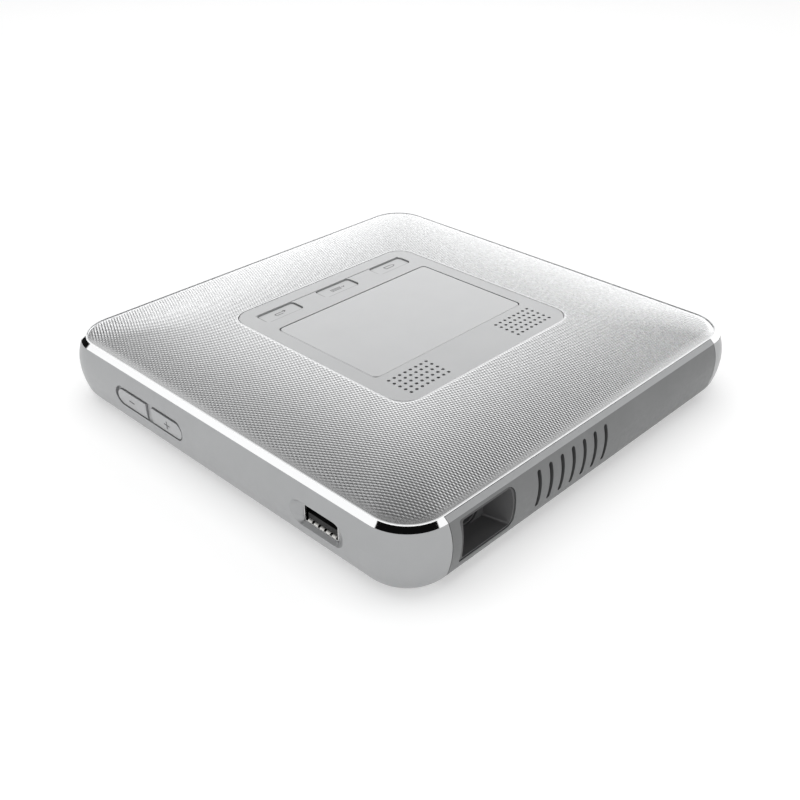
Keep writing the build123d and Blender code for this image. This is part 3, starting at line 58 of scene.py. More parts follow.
# ------------------------------------------------------------------ node helpers
class ShaderSheet:
    """A material under construction, with short calls for the nodes that finishes share."""

    def __init__(self, name: str) -> None:
        """Start a material of this name with its principled shader."""
        self.material = bpy.data.materials.new(name)
        self.material.use_nodes = True
        self.tree = self.material.node_tree
        self.shader = self.tree.nodes["Principled BSDF"]

    def node(self, kind: str, **settings: object) -> bpy.types.Node:
        """Add a node and set its properties.

        Args:
            kind: Blender's name of the node's type.
            settings: properties of the node.

        Returns:
            The new node.
        """
        made = self.tree.nodes.new(kind)
        for key, value in settings.items():
            setattr(made, key, value)
        return made

    def link(self, source: bpy.types.NodeSocket, target: bpy.types.NodeSocket) -> None:
        """Join two sockets."""
        self.tree.links.new(source, target)

    def place(self) -> bpy.types.NodeSocket:
        """The point on the piece, in metres in the piece's own frame."""
        return self.node("ShaderNodeTexCoord").outputs["Object"]

    def math(self, operation: str, first: object, second: object = None) -> bpy.types.NodeSocket:
        """One arithmetic step.

        Args:
            operation: Blender's name of the operation.
            first: a socket or a number.
            second: a socket, a number or nothing.

        Returns:
            The result's socket.
        """
        step = self.node("ShaderNodeMath", operation=operation)
        for place, value in enumerate((first, second)):
            if isinstance(value, bpy.types.NodeSocket):
                self.link(value, step.inputs[place])
            elif value is not None:
                step.inputs[place].default_value = value
        return step.outputs[0]

    def noise(self, grain: float, stretch: Colour = (1, 1, 1), detail: float = 3) -> bpy.types.NodeSocket:
        """Noise from 0 to 1.

        Args:
            grain: size of the grains in millimetres.
            stretch: how much finer the grains are along each axis.
            detail: octaves of finer noise.

        Returns:
            The noise's socket.
        """
        scaled = self.node("ShaderNodeMapping")
        scaled.inputs["Scale"].default_value = [s / (grain * MM) for s in stretch]
        self.link(self.place(), scaled.inputs["Vector"])
        made = self.node("ShaderNodeTexNoise")
        made.inputs["Scale"].default_value = 1
        made.inputs["Detail"].default_value = detail
        self.link(scaled.outputs[0], made.inputs["Vector"])
        return made.outputs["Fac"]

    def spread(self, value: bpy.types.NodeSocket, low: float, high: float) -> bpy.types.NodeSocket:
        """Carry noise of 0.3 to 0.7 onto another range.

        Args:
            value: the noise's socket.
            low: result at 0.3 and below.
            high: result at 0.7 and above.

        Returns:
            The result's socket.
        """
        made = self.node("ShaderNodeMapRange")
        for name, number in (("From Min", 0.3), ("From Max", 0.7), ("To Min", low), ("To Max", high)):
            made.inputs[name].default_value = number
        self.link(value, made.inputs["Value"])
        return made.outputs[0]

    def blend(self, share: bpy.types.NodeSocket, first: Colour, second: Colour) -> bpy.types.NodeSocket:
        """Mix two colours by a share from 0 to 1."""
        made = self.node("ShaderNodeMix", data_type="RGBA")
        made.inputs[6].default_value = (*first, 1)
        made.inputs[7].default_value = (*second, 1)
        self.link(share, made.inputs[0])
        return made.outputs[2]

    def relief(self, height: bpy.types.NodeSocket, depth: float) -> None:
        """Give the surface a fine relief.

        Args:
            height: the relief's height from 0 to 1.
            depth: what a height of 1 stands for, in millimetres.
        """
        bump = self.node("ShaderNodeBump")
        bump.inputs["Distance"].default_value = depth * MM
        self.link(height, bump.inputs["Height"])
        self.link(bump.outputs[0], self.shader.inputs["Normal"])

    def axes(self) -> list[bpy.types.NodeSocket]:
        """The point on the piece, split into its three coordinates."""
        split = self.node("ShaderNodeSeparateXYZ")
        self.link(self.place(), split.inputs[0])
        return list(split.outputs)

    def lattice(self, product: bpy.types.NodeSocket) -> bpy.types.NodeSocket:
        """Carry a wave of -1 to 1 onto 0 to 1."""
        made = self.math("MULTIPLY_ADD", product, 0.5)
        made.node.inputs[2].default_value = 0.5
        return made

    def waves(self, operation: str, pitches: Point) -> bpy.types.NodeSocket:
        """Product of two waves, one along each of the first two axes.

        Args:
            operation: SINE or COSINE.
            pitches: the two wavelengths in millimetres.

        Returns:
            The product's socket, from 0 to 1.
        """
        first, second = (
            self.math(operation, self.math("MULTIPLY", axis, math.tau / (pitch * MM)))
            for axis, pitch in zip(self.axes(), pitches)
        )
        return self.lattice(self.math("MULTIPLY", first, second))

    def recolour(self, share: bpy.types.NodeSocket, colour: Colour) -> None:
        """Carry the base colour over to another one by a share from 0 to 1."""
        base = self.shader.inputs["Base Color"]
        tint = self.node("ShaderNodeMix", data_type="RGBA")
        self.link(share, tint.inputs[0])
        self.link(base.links[0].from_socket, tint.inputs[6])
        tint.inputs[7].default_value = (*colour, 1)
        self.link(tint.outputs[2], base)

    def set(self, name: str, value: object) -> None:
        """Set one of the shader's own sockets."""
        self.shader.inputs[name].default_value = value


# ------------------------------------------------------------------ finishes
@dataclass(frozen=True)
class Finish:
    """A moulded, painted or metal surface with its tints, gloss and grain."""

    light: Colour
    dark: Colour
    roughness: tuple[float, float]
    metallic: float = 0.0
    specular: float = 0.5
    grain: float = 0.3
    depth: float = 0.004
    stretch: Colour = (1, 1, 1)
    patches: float = 9.0
    coat: float = 0.0
    coat_roughness: float = 0.05

    def sheet(self, name: str) -> ShaderSheet:
        """Lay out the shader.

        Args:
            name: the material's name.

        Returns:
            The sheet, ready for more nodes.
        """
        sheet = ShaderSheet(name)
        sheet.link(
            sheet.blend(sheet.spread(sheet.noise(self.patches), 0, 1), self.dark, self.light),
            sheet.shader.inputs["Base Color"],
        )
        gloss = sheet.spread(sheet.noise(self.grain * 6, self.stretch), *self.roughness)
        sheet.link(gloss, sheet.shader.inputs["Roughness"])
        sheet.set("Metallic", self.metallic)
        sheet.set("Specular IOR Level", self.specular)
        sheet.set("Coat Weight", self.coat)
        sheet.set("Coat Roughness", self.coat_roughness)
        if self.depth:
            sheet.relief(sheet.noise(self.grain, self.stretch), self.depth)
        return sheet

    def material(self, name: str) -> bpy.types.Material:
        """Make the material."""
        return self.sheet(name).material


@dataclass(frozen=True)
class KnurlAndHollowShadeFinish(Finish):
    """Pearl paint over rows of staggered bumps that fade out towards both edges, with painted shade in the
    hollows between the bumps.
    """

    pitch_x: float = 0.98
    pitch_y: float = 2.04
    knurl_depth: float = 0.11
    hollow_shade: Colour = (0.36, 0.365, 0.37)

    def material(self, name: str) -> bpy.types.Material:
        """Make the material with its lattice and the painted shade in its hollows.

        Args:
            name: the material's name.

        Returns:
            The material.
        """
        sheet = self.sheet(name)
        bump = sheet.waves("COSINE", (self.pitch_x, self.pitch_y))
        fade = sheet.node("ShaderNodeAttribute", attribute_name="knurl")
        height = sheet.math("MULTIPLY", bump, fade.outputs["Fac"])
        sheet.relief(height, self.knurl_depth)
        # Painted shade: the hollows between the bumps are darkened towards the hollow colour, as shade would
        # fall in them.
        low = sheet.math("SUBTRACT", 1.0, bump)
        sheet.recolour(sheet.math("MULTIPLY", low, fade.outputs["Fac"]), self.hollow_shade)
        return sheet.material


@dataclass(frozen=True)
class BevelHighlightFinish(Finish):
    """Paint with a painted highlight: a lighter band along the bevel at the top, where the bevel catches the
    light.
    """

    band: Colour = (0.36, 0.365, 0.37)
    band_start: float = 20.45

    def material(self, name: str) -> bpy.types.Material:
        """Make the material with the painted highlight along its bevel.

        Args:
            name: the material's name.

        Returns:
            The material.
        """
        sheet = self.sheet(name)
        height = sheet.axes()[2]
        # Painted highlight: above the start height the colour is lifted towards the lighter band colour, as
        # the bevel catches the light.
        sheet.recolour(sheet.math("GREATER_THAN", height, self.band_start * MM), self.band)
        return sheet.material


@dataclass(frozen=True)
class GapShadeFinish(Finish):
    """Painted shade: paint that darkens beside the piece's outline, where the gap would shade it."""

    low: Point = (0.0, 0.0)
    high: Point = (0.0, 0.0)
    reach: Point = (0.42, 0.6)
    shade: Colour = (0.34, 0.34, 0.34)

    def material(self, name: str) -> bpy.types.Material:
        """Make the material with the painted gap shade along its edge.

        Args:
            name: the material's name.

        Returns:
            The material.
        """
        sheet = self.sheet(name)
        depths = []
        for axis, low, high in zip(sheet.axes(), self.low, self.high):
            depths.append(sheet.math("SUBTRACT", axis, low * MM))
            depths.append(sheet.math("SUBTRACT", high * MM, axis))
        depth = depths[0]
        for other in depths[1:]:
            depth = sheet.math("MINIMUM", depth, other)
        share = sheet.node("ShaderNodeMapRange")
        share.inputs["From Min"].default_value = self.reach[1] * MM
        share.inputs["From Max"].default_value = self.reach[0] * MM
        sheet.link(depth, share.inputs["Value"])
        # Painted shade: within reach of the outline the colour goes over to the shade colour.
        sheet.recolour(share.outputs[0], self.shade)
        return sheet.material


@dataclass(frozen=True)
class MouthShadeFinish(Finish):
    """Bright lip of a socket whose inside, behind it, is painted near-black as shade."""

    black: Colour = (0.006, 0.006, 0.006)
    lip_depth: float = 0.5
    mouth: float = 0.0

    def material(self, name: str) -> bpy.types.Material:
        """Make the material with its blackened inside.

        Args:
            Make the material with the painted shade inside.

        Returns:
            The material.
        """
        sheet = self.sheet(name)
        run = sheet.axes()[0]
        # Painted shade: past the lip the colour goes over to near-black, where shade falls inside the socket.
        sheet.recolour(sheet.math("GREATER_THAN", run, (self.mouth + self.lip_depth) * MM), self.black)
        return sheet.material


@dataclass(frozen=True)
class BoardFinish(Finish):
    """Circuit board: resist with copper tracks that run under it."""

    track: Colour = (0.05, 0.26, 0.12)
    pitch: float = 1.3
    track_edge: float = 0.42

    def material(self, name: str) -> bpy.types.Material:
        """Make the material with its tracks.

        Args:
            name: the material's name.

        Returns:
            The material.
        """
        sheet = self.sheet(name)
        scaled = sheet.node("ShaderNodeMapping")
        scaled.inputs["Scale"].default_value = [1 / (self.pitch * MM)] * 3
        sheet.link(sheet.place(), scaled.inputs[0])
        cells = sheet.node("ShaderNodeTexVoronoi", feature="F1", distance="CHEBYCHEV")
        cells.inputs["Scale"].default_value = 1
        sheet.link(scaled.outputs[0], cells.inputs["Vector"])
        edge = sheet.math("GREATER_THAN", cells.outputs["Distance"], self.track_edge)
        sheet.link(sheet.blend(edge, self.light, self.track), sheet.shader.inputs["Base Color"])
        return sheet.material


@dataclass(frozen=True)
class MeshFinish(Finish):
    """Fine woven mesh."""

    pitch: float = 0.25
    weave_depth: float = 0.05

    def material(self, name: str) -> bpy.types.Material:
        """Make the material with its weave.

        Args:
            name: the material's name.

        Returns:
            The material.
        """
        sheet = self.sheet(name)
        share = sheet.waves("SINE", (self.pitch, self.pitch))
        sheet.link(sheet.blend(share, self.dark, self.light), sheet.shader.inputs["Base Color"])
        sheet.relief(share, self.weave_depth)
        return sheet.material


@dataclass(frozen=True)
class LensFinish(Finish):
    """Dark coated lens glass with a blue-green bloom."""

    bloom: Colour = (0.03, 0.05, 0.09)
    bloom_reach: float = 0.4

    def material(self, name: str) -> bpy.types.Material:
        """Make the material with its bloom at grazing angles.

        Args:
            name: the material's name.

        Returns:
            The material.
        """
        sheet = self.sheet(name)
        facing = sheet.node("ShaderNodeLayerWeight")
        facing.inputs["Blend"].default_value = self.bloom_reach
        sheet.link(
            sheet.blend(facing.outputs["Facing"], self.dark, self.bloom), sheet.shader.inputs["Base Color"]
        )
        return sheet.material


FINISHES: dict[str, Finish] = {
    "case_silver": Finish((0.385, 0.39, 0.395), (0.37, 0.375, 0.38), (0.34, 0.40), 0.6, grain=0.25,
                          depth=0.002),
    # front_grey: the front panel's paint, with a painted highlight along its top bevel.
    "front_grey": BevelHighlightFinish((0.175, 0.178, 0.179), (0.16, 0.163, 0.164), (0.36, 0.44), 0.5, grain=0.25,
                             depth=0.002),
    "bevel_chrome": Finish((0.93, 0.935, 0.94), (0.92, 0.925, 0.93), (0.03, 0.05), 1.0, grain=4.0,
                           depth=0.0),
    # top_pearl: knurled pearl paint with painted shade in the hollows between the bumps.
    "top_pearl": KnurlAndHollowShadeFinish((0.93, 0.935, 0.94), (0.91, 0.915, 0.92), (0.24, 0.30), 0.85, grain=0.2,
                               depth=0.0),
    "plate_silver": Finish((0.60, 0.605, 0.61), (0.585, 0.59, 0.595), (0.30, 0.34), 0.8, grain=0.2,
                           depth=0.001),
    "pad_silver": Finish((0.64, 0.645, 0.65), (0.625, 0.63, 0.635), (0.30, 0.34), 0.8, grain=0.2,
                         depth=0.001),
    "key_silver": Finish((0.61, 0.615, 0.62), (0.595, 0.60, 0.605), (0.30, 0.34), 0.8, grain=0.2,
                         depth=0.001),
    "side_key": Finish((0.44, 0.445, 0.45), (0.42, 0.425, 0.43), (0.34, 0.40), 0.6, grain=0.2,
                       depth=0.001),
    "hood_black": Finish((0.060, 0.060, 0.061), (0.050, 0.050, 0.051), (0.36, 0.46), grain=0.3,
                         depth=0.006),
    "base_dark": Finish((0.05, 0.05, 0.053), (0.035, 0.035, 0.038), (0.5, 0.62), grain=0.5, depth=0.02),
    "inner_black": Finish((0.035, 0.035, 0.036), (0.022, 0.022, 0.023), (0.42, 0.55), grain=0.4,
                          depth=0.01),
    "foot_rubber": Finish((0.035, 0.035, 0.035), (0.02, 0.02, 0.021), (0.75, 0.9), specular=0.3, grain=0.25,
                          depth=0.02),
    "screw_steel": Finish((0.30, 0.30, 0.31), (0.2, 0.2, 0.21), (0.28, 0.4), 1.0, grain=0.2, depth=0.004,
                          stretch=(1, 6, 1)),
    "socket_steel": Finish((0.75, 0.75, 0.74), (0.62, 0.62, 0.62), (0.22, 0.34), 1.0, grain=0.3,
                           depth=0.003,
                           stretch=(6, 1, 1)),
    "rod_steel": Finish((0.7, 0.7, 0.7), (0.6, 0.6, 0.6), (0.14, 0.22), 1.0, grain=0.2, depth=0.002,
                        stretch=(1, 8, 1)),
    "insert_brass": Finish((0.72, 0.53, 0.24), (0.6, 0.42, 0.18), (0.2, 0.32), 1.0, grain=0.2, depth=0.004,
                           stretch=(1, 1, 8)),
    "pipe_copper": Finish((0.72, 0.36, 0.2), (0.55, 0.26, 0.15), (0.28, 0.42), 1.0, grain=0.5, depth=0.004),
    "cast_aluminium": Finish((0.5, 0.51, 0.52), (0.4, 0.41, 0.42), (0.4, 0.55), 1.0, grain=0.6, depth=0.03),
    "fin_aluminium": Finish((0.66, 0.67, 0.68), (0.55, 0.56, 0.57), (0.25, 0.38), 1.0, grain=0.3, depth=0.004,
                            stretch=(1, 1, 8)),
    "board_green": BoardFinish((0.02, 0.13, 0.06), (0.015, 0.10, 0.045), (0.25, 0.35), grain=0.4,
                               depth=0.003),
    "battery_wrap": Finish((0.06, 0.07, 0.1), (0.04, 0.045, 0.07), (0.2, 0.35), grain=3.0, depth=0.05,
                           coat=0.4),
    "lens_glass": LensFinish((0.02, 0.025, 0.035), (0.008, 0.009, 0.012), (0.02, 0.04), specular=0.7,
                             grain=3.0, depth=0.0, coat=1.0, coat_roughness=0.02),
    "tongue_white": Finish((0.62, 0.62, 0.6), (0.54, 0.54, 0.52), (0.35, 0.45), grain=0.3, depth=0.004),
    "speaker_mesh": MeshFinish((0.08, 0.08, 0.08), (0.01, 0.01, 0.01), (0.4, 0.5), 0.8, grain=0.2,
                               depth=0.0),
}
# The USB shell's inside, past its lip, is painted shade.
USB_SHELL = MouthShadeFinish((0.75, 0.75, 0.74), (0.66, 0.66, 0.66), (0.25, 0.35), 1.0, grain=0.3, depth=0.002)
TONGUE_BLACK = Finish((0.012, 0.012, 0.012), (0.008, 0.008, 0.008), (0.4, 0.5), specular=0.3, grain=0.3,
                      depth=0.003)
PRINT_GREY = Finish((0.12, 0.12, 0.125), (0.09, 0.09, 0.095), (0.5, 0.6), grain=0.2, depth=0.001)
CONTACT_METAL = Finish((0.8, 0.79, 0.76), (0.7, 0.69, 0.67), (0.25, 0.35), 0.7, grain=0.2, depth=0.002,
                       stretch=(6, 1, 1))


class FinishRack:
    """Makes each finish once and hands it out by its slot."""

    def __init__(self) -> None:
        """Start with nothing made."""
        self.made: dict[str, bpy.types.Material] = {}

    def get(self, slot: str) -> bpy.types.Material:
        """The material of one of the part's slots."""
        if slot not in self.made:
            self.made[slot] = FINISHES[slot].material(slot)
        return self.made[slot]

    def cover(self, node: str, finish: Finish) -> None:
        """Give a carried-over node a finish of its own.

        Args:
            node: the node's name.
            finish: its finish.
        """
        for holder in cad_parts[node].material_slots:
            holder.link = "OBJECT"
            holder.material = finish.material(node)

    def dress(self, node: str) -> None:
        """Give a carried-over node the finish of each of its slots.

        Args:
            node: the node's name.
        """
        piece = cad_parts[node]
        for holder in piece.material_slots:
            material = self.get(holder.material.name.split(".")[0])
            holder.link = "OBJECT"
            holder.material = material


# ------------------------------------------------------------------ mesh helpers
def mesh_object(
    name: str, points: list, faces: list, material: bpy.types.Material, smooth: bool = False
) -> bpy.types.Object:
    """Make a mesh object.

    Args:
        name: the piece's name.
        points: corners in metres.
        faces: tuples of corner numbers.
        material: the piece's finish.
        smooth: whether the faces are shaded smooth, with creases at sharp angles.

    Returns:
        The object, linked to the scene.
    """
    mesh = bpy.data.meshes.new(name)
    mesh.from_pydata([tuple(p) for p in points], [], faces)
    mesh.validate()
    if smooth:
        mesh.shade_smooth()
        mesh.set_sharp_from_angle(angle=math.radians(CREASE))
    mesh.materials.append(material)
    made = bpy.data.objects.new(name, mesh)
    bpy.context.scene.collection.objects.link(made)
    return made


@dataclass(frozen=True)
class Surface:
    """A flat place to print on: its origin and its two directions, in millimetres."""

    origin: Vector
    along: Vector
    up: Vector

    def at(self, point: Point, height: float) -> Vector:
        """A point of the drawing, in metres, raised off the surface."""
        out = self.along.cross(self.up)
        return (self.origin + self.along * point[0] + self.up * point[1] + out * height) * MM


@dataclass
class Drawing:
    """Strokes of one width that print a sign, as a thin raised film."""

    surface: Surface
    width: float = 0.26
    thickness: float = 0.02
    mitre_limit: float = 0.4
    points: list = field(default_factory=list)
    faces: list = field(default_factory=list)

    def stroke(self, path: list[Point], closed: bool = False) -> None:
        """Draw a line through points, with mitred corners.

        Args:
            path: points of the line.
            closed: whether the line returns to its start.
        """
        line = [Vector(p) for p in path]
        count = len(line)
        base = len(self.points)
        for place, point in enumerate(line):
            before = line[place - 1] if place or closed else None
            after = line[(place + 1) % count] if place < count - 1 or closed else None
            steps = [(b - a).normalized() for a, b in ((before, point), (point, after)) if a and b]
            normals = [Vector((-s.y, s.x)) for s in steps]
            mitre = sum(normals, Vector((0, 0))).normalized()
            reach = self.width / 2 / max(mitre.dot(normals[0]), self.mitre_limit)
            for side in (1, -1):
                for height in (0.0, self.thickness):
                    spot = point + mitre * reach * side
                    self.points.append(self.surface.at((spot.x, spot.y), height))
        last = count if closed else count - 1
        for place in range(last):
            a, b = base + 4 * place, base + 4 * ((place + 1) % count)
            for first, second in ((0, 1), (1, 3), (3, 2), (2, 0)):
                self.faces.append((a + first, a + second, b + second, b + first))
        if not closed:
            end = base + 4 * (count - 1)
            self.faces.append((base, base + 2, base + 3, base + 1))
            self.faces.append((end + 1, end + 3, end + 2, end))

    def finish(self, name: str, body: str, slot: str, material: bpy.types.Material) -> None:
        """Turn the strokes into a piece that rides on a body.

        Args:
            name: the piece's name.
            body: the body that it moves with.
            slot: the part's slot that it belongs to; not used.
            material: its ink.
        """
        made = mesh_object(name, self.points, self.faces, material)
        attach(made, body)


def arc(centre: Point, radius: float, start: float, end: float, steps: int = 8) -> list[Point]:
    """Points along an arc, its angles in degrees."""
    turns = [math.radians(start + (end - start) * i / steps) for i in range(steps + 1)]
    return [(centre[0] + radius * math.cos(t), centre[1] + radius * math.sin(t)) for t in turns]


# ------------------------------------------------------------------ the cover
@dataclass
class KnurledCover:
    """Domed top cover, its upper face carved into rows of fine staggered bumps."""

    plane: float = 26.4
    drop: float = 4.65
    power: float = 2.6
    edge_half: float = 74.5
    edge_radius: float = 11.8
    recess_half: float = 38.75
    recess_radius: float = 6.6
    shelf: float = 21.0
    opening_half: float = 36.6
    opening_radius: float = 4.6
    seat: float = 24.6
    ledge_bottom: float = 23.3
    ledge_half: float = 40.4
    ledge_radius: float = 8.2
    ledge_top: float = 24.4
    thickness: float = 1.6
    inner_edge: float = 73.0
    step_x: float = 0.49
    step_y: float = 0.51
    carve: float = 0.07
    under_shares: tuple[float, ...] = (0.12, 0.3, 0.55, 0.8)
    side_points: int = 260
    corner_points: int = 24
    strip: float = 0.36
    rim_fade: tuple[float, float] = (0.3, 3.0)
    recess_fade: tuple[float, float] = (0.25, 0.9)

    def distance(self, x: np.ndarray, y: np.ndarray, half: object, radius: object) -> np.ndarray:
        """Distance outside a rounded square.

        Args:
            x: places along X.
            y: places along Y.
            half: half-width of the square.
            radius: radius of its corners.

        Returns:
            The distances, negative inside.
        """
        across = np.abs(x) - (half - radius)
        along = np.abs(y) - (half - radius)
        outside = np.hypot(np.maximum(across, 0), np.maximum(along, 0))
        return np.minimum(np.maximum(across, along), 0) + outside - radius

    def level(self, x: np.ndarray, y: np.ndarray) -> np.ndarray:
        """Share of the way from the rim (0) to the recess (1) at each place."""
        low, high = np.zeros_like(x), np.ones_like(x)
        for _ in range(34):
            middle = (low + high) / 2
            half = self.edge_half + (self.recess_half - self.edge_half) * middle
            radius = self.edge_radius + (self.recess_radius - self.edge_radius) * middle
            inside = self.distance(x, y, half, radius) < 0
            low = np.where(inside, middle, low)
            high = np.where(inside, high, middle)
        return (low + high) / 2

    def dome(self, share: object) -> object:
        """Height of the smooth dome at a share of the way in."""
        return self.plane - self.drop * (1 - share) ** self.power

    def fade(self, x: np.ndarray, y: np.ndarray) -> np.ndarray:
        """How deep the bumps are at each place, from 0 to 1."""
        inside = -self.distance(x, y, self.edge_half, self.edge_radius)
        outside = self.distance(x, y, self.recess_half, self.recess_radius)
        share = np.ones_like(x)
        for gap, (start, end) in ((inside, self.rim_fade), (outside, self.recess_fade)):
            step = np.clip((gap - start) / (end - start), 0, 1)
            share = share * step * step * (3 - 2 * step)
        return share

    def outline(self, half: float, radius: float) -> np.ndarray:
        """Points round a rounded square, anticlockwise.

        Args:
            half: half-width of the square.
            radius: radius of its corners.

        Returns:
            The points, one row each.
        """
        centre = half - radius
        points = []
        for side in range(4):
            turn = side * math.pi / 2
            for i in range(self.side_points):
                run = -centre + 2 * centre * i / self.side_points
                points.append(self.turned(half, run, turn))
            for i in range(self.corner_points):
                angle = math.pi / 2 * i / self.corner_points
                spot = (centre + radius * math.cos(angle), centre + radius * math.sin(angle))
                points.append(self.turned(*spot, turn))
        return np.array(points)

    @staticmethod
    def turned(x: float, y: float, turn: float) -> Point:
        """A point turned round the middle."""
        return x * math.cos(turn) - y * math.sin(turn), x * math.sin(turn) + y * math.cos(turn)

    def grid(self) -> tuple[np.ndarray, np.ndarray, np.ndarray]:
        """The carved face's grid.

        Returns:
            The grid's X and Y places, and which cells lie wholly on the face.
        """
        columns = int(self.edge_half / self.step_x) + 1
        rows = int(self.edge_half / self.step_y) + 1
        x, y = np.meshgrid(
            np.arange(-columns, columns + 1) * self.step_x, np.arange(-rows, rows + 1) * self.step_y
        )
        fits = self.distance(x, y, self.edge_half, self.edge_radius) < -self.strip
        fits &= self.distance(x, y, self.recess_half, self.recess_radius) > self.strip
        cells = fits[:-1, :-1] & fits[1:, :-1] & fits[:-1, 1:] & fits[1:, 1:]
        return x, y, cells

    def build(self, rack: FinishRack) -> bpy.types.Object:
        """Build the cover as one closed form that stands for the plain one.

        Args:
            rack: the finishes.

        Returns:
            The cover.
        """
        x, y, cells = self.grid()
        used = np.zeros(x.shape, bool)
        for down in (0, 1):
            for right in (0, 1):
                used[down : down + cells.shape[0], right : right + cells.shape[1]] |= cells
        number = np.full(x.shape, -1)
        number[used] = np.arange(used.sum())
        flat = list(zip(x[used], y[used]))
        corner = [number[:-1, :-1], number[:-1, 1:], number[1:, 1:], number[1:, :-1]]
        faces = [tuple(int(v) for v in quad) for quad in np.stack([c[cells] for c in corner], 1)]

        outer = self.outline(self.edge_half, self.edge_radius)
        inner = self.outline(self.recess_half, self.recess_radius)
        first_outer = len(flat)
        flat += [tuple(p) for p in outer]
        first_inner = len(flat)
        flat += [tuple(p) for p in inner]
        faces += self.edge_strip(flat, faces, first_outer, first_inner, cells, x, y)

        spots = np.array(flat)
        share = self.level(spots[:, 0], spots[:, 1])
        share[first_outer:first_inner] = 0
        share[first_inner:] = 1
        fade = self.fade(spots[:, 0], spots[:, 1])
        wave = np.cos(math.pi * spots[:, 0] / self.step_x) * np.cos(math.pi / 2 * spots[:, 1] / self.step_y)
        height = self.dome(share) - self.carve * fade * (1 - wave) / 2
        points = [Vector((a, b, c)) * MM for (a, b), c in zip(flat, height)]
        self.close(points, faces, first_outer, first_inner)

        cover = mesh_object("knurled_cover", points, faces, rack.get("top_pearl"), smooth=True)
        layer = cover.data.attributes.new("knurl", "FLOAT", "POINT")
        values = np.zeros(len(cover.data.vertices), np.float32)
        values[: len(fade)] = fade
        layer.data.foreach_set("value", values)
        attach(cover, "case")
        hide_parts("top_cover")
        return cover

    def edge_strip(
        self, flat: list, quads: list, first_outer: int, first_inner: int,
        cells: np.ndarray, x: np.ndarray, y: np.ndarray,
    ) -> list:
        """Fill the strips between the grid's ragged edge and the two outlines.

        Args:
            flat: all points of the face.
            quads: the grid's faces.
            first_outer: number of the rim's first point.
            first_inner: number of the recess's first point.
            cells: which cells of the grid are faces.
            x: the grid's X places.
            y: the grid's Y places.

        Returns:
            The strips' triangles.
        """
        sides: dict[tuple[int, int], int] = {}
        for quad in quads:
            for a, b in zip(quad, quad[1:] + quad[:1]):
                key = (min(a, b), max(a, b))
                sides[key] = sides.get(key, 0) + 1
        edges = [key for key, count in sides.items() if count == 1]
        for start, end in ((first_outer, first_inner), (first_inner, len(flat))):
            edges += [(i, i + 1 if i + 1 < end else start) for i in range(start, end)]
        kept = sorted({v for edge in edges for v in edge})
        back = {v: i for i, v in enumerate(kept)}
        result = delaunay_2d_cdt(
            [Vector(flat[v]) for v in kept], [(back[a], back[b]) for a, b in edges], [], 0, 1e-7
        )
        origins = [o[0] if o else -1 for o in result[3]]
        triangles = []
        for face in result[2]:
            numbers = [kept[origins[v]] for v in face]
            middle = sum((Vector(flat[v]) for v in numbers), Vector((0, 0))) / 3
            spot = np.array([middle.x]), np.array([middle.y])
            if self.distance(*spot, self.edge_half, self.edge_radius)[0] > 0:
                continue
            if self.distance(*spot, self.recess_half, self.recess_radius)[0] < 0:
                continue
            column = int(math.floor((middle.x - x[0, 0]) / self.step_x))
            row = int(math.floor((middle.y - y[0, 0]) / self.step_y))
            if 0 <= row < cells.shape[0] and 0 <= column < cells.shape[1] and cells[row, column]:
                continue
            triangles.append(tuple(numbers))
        return triangles

    def close(self, points: list, faces: list, first_outer: int, first_inner: int) -> None:
        """Carry the rim down, under the dome and up round the recess.

        Args:
            points: the cover's points, which grow.
            faces: the cover's faces, which grow.
            first_outer: number of the rim's first point.
            first_inner: number of the recess's first point.
        """
        rings = [(self.edge_half, self.edge_radius, self.shelf),
                 (self.inner_edge, self.edge_radius - self.edge_half + self.inner_edge, self.shelf)]
        for share in self.under_shares:
            half = self.edge_half + (self.recess_half - self.edge_half) * share
            radius = self.edge_radius + (self.recess_radius - self.edge_radius) * share
            rings.append((half, radius, self.dome(share) - self.thickness))
        rings += [
            (self.ledge_half, self.ledge_radius, self.ledge_top),
            (self.ledge_half, self.ledge_radius, self.ledge_bottom),
            (self.opening_half, self.opening_radius, self.ledge_bottom),
            (self.opening_half, self.opening_radius, self.seat),
            (self.recess_half, self.recess_radius, self.seat),
        ]
        count = first_inner - first_outer
        before = first_outer
        for half, radius, height in rings:
            start = len(points)
            points += [Vector((a, b, height)) * MM for a, b in self.outline(half, radius)]
            self.bridge(faces, before, start, count)
            before = start
        self.bridge(faces, before, first_inner, count)

    @staticmethod
    def bridge(faces: list, first: int, second: int, count: int) -> None:
        """Join two rings of the same count with quads."""
        for i in range(count):
            j = (i + 1) % count
            faces.append((first + i, second + i, second + j, first + j))


# ------------------------------------------------------------------ top panel
class Sign(Enum):
    """The sign printed on each key."""

    RETURN = "key_back"
    MENU = "key_menu"
    HOME = "key_home"


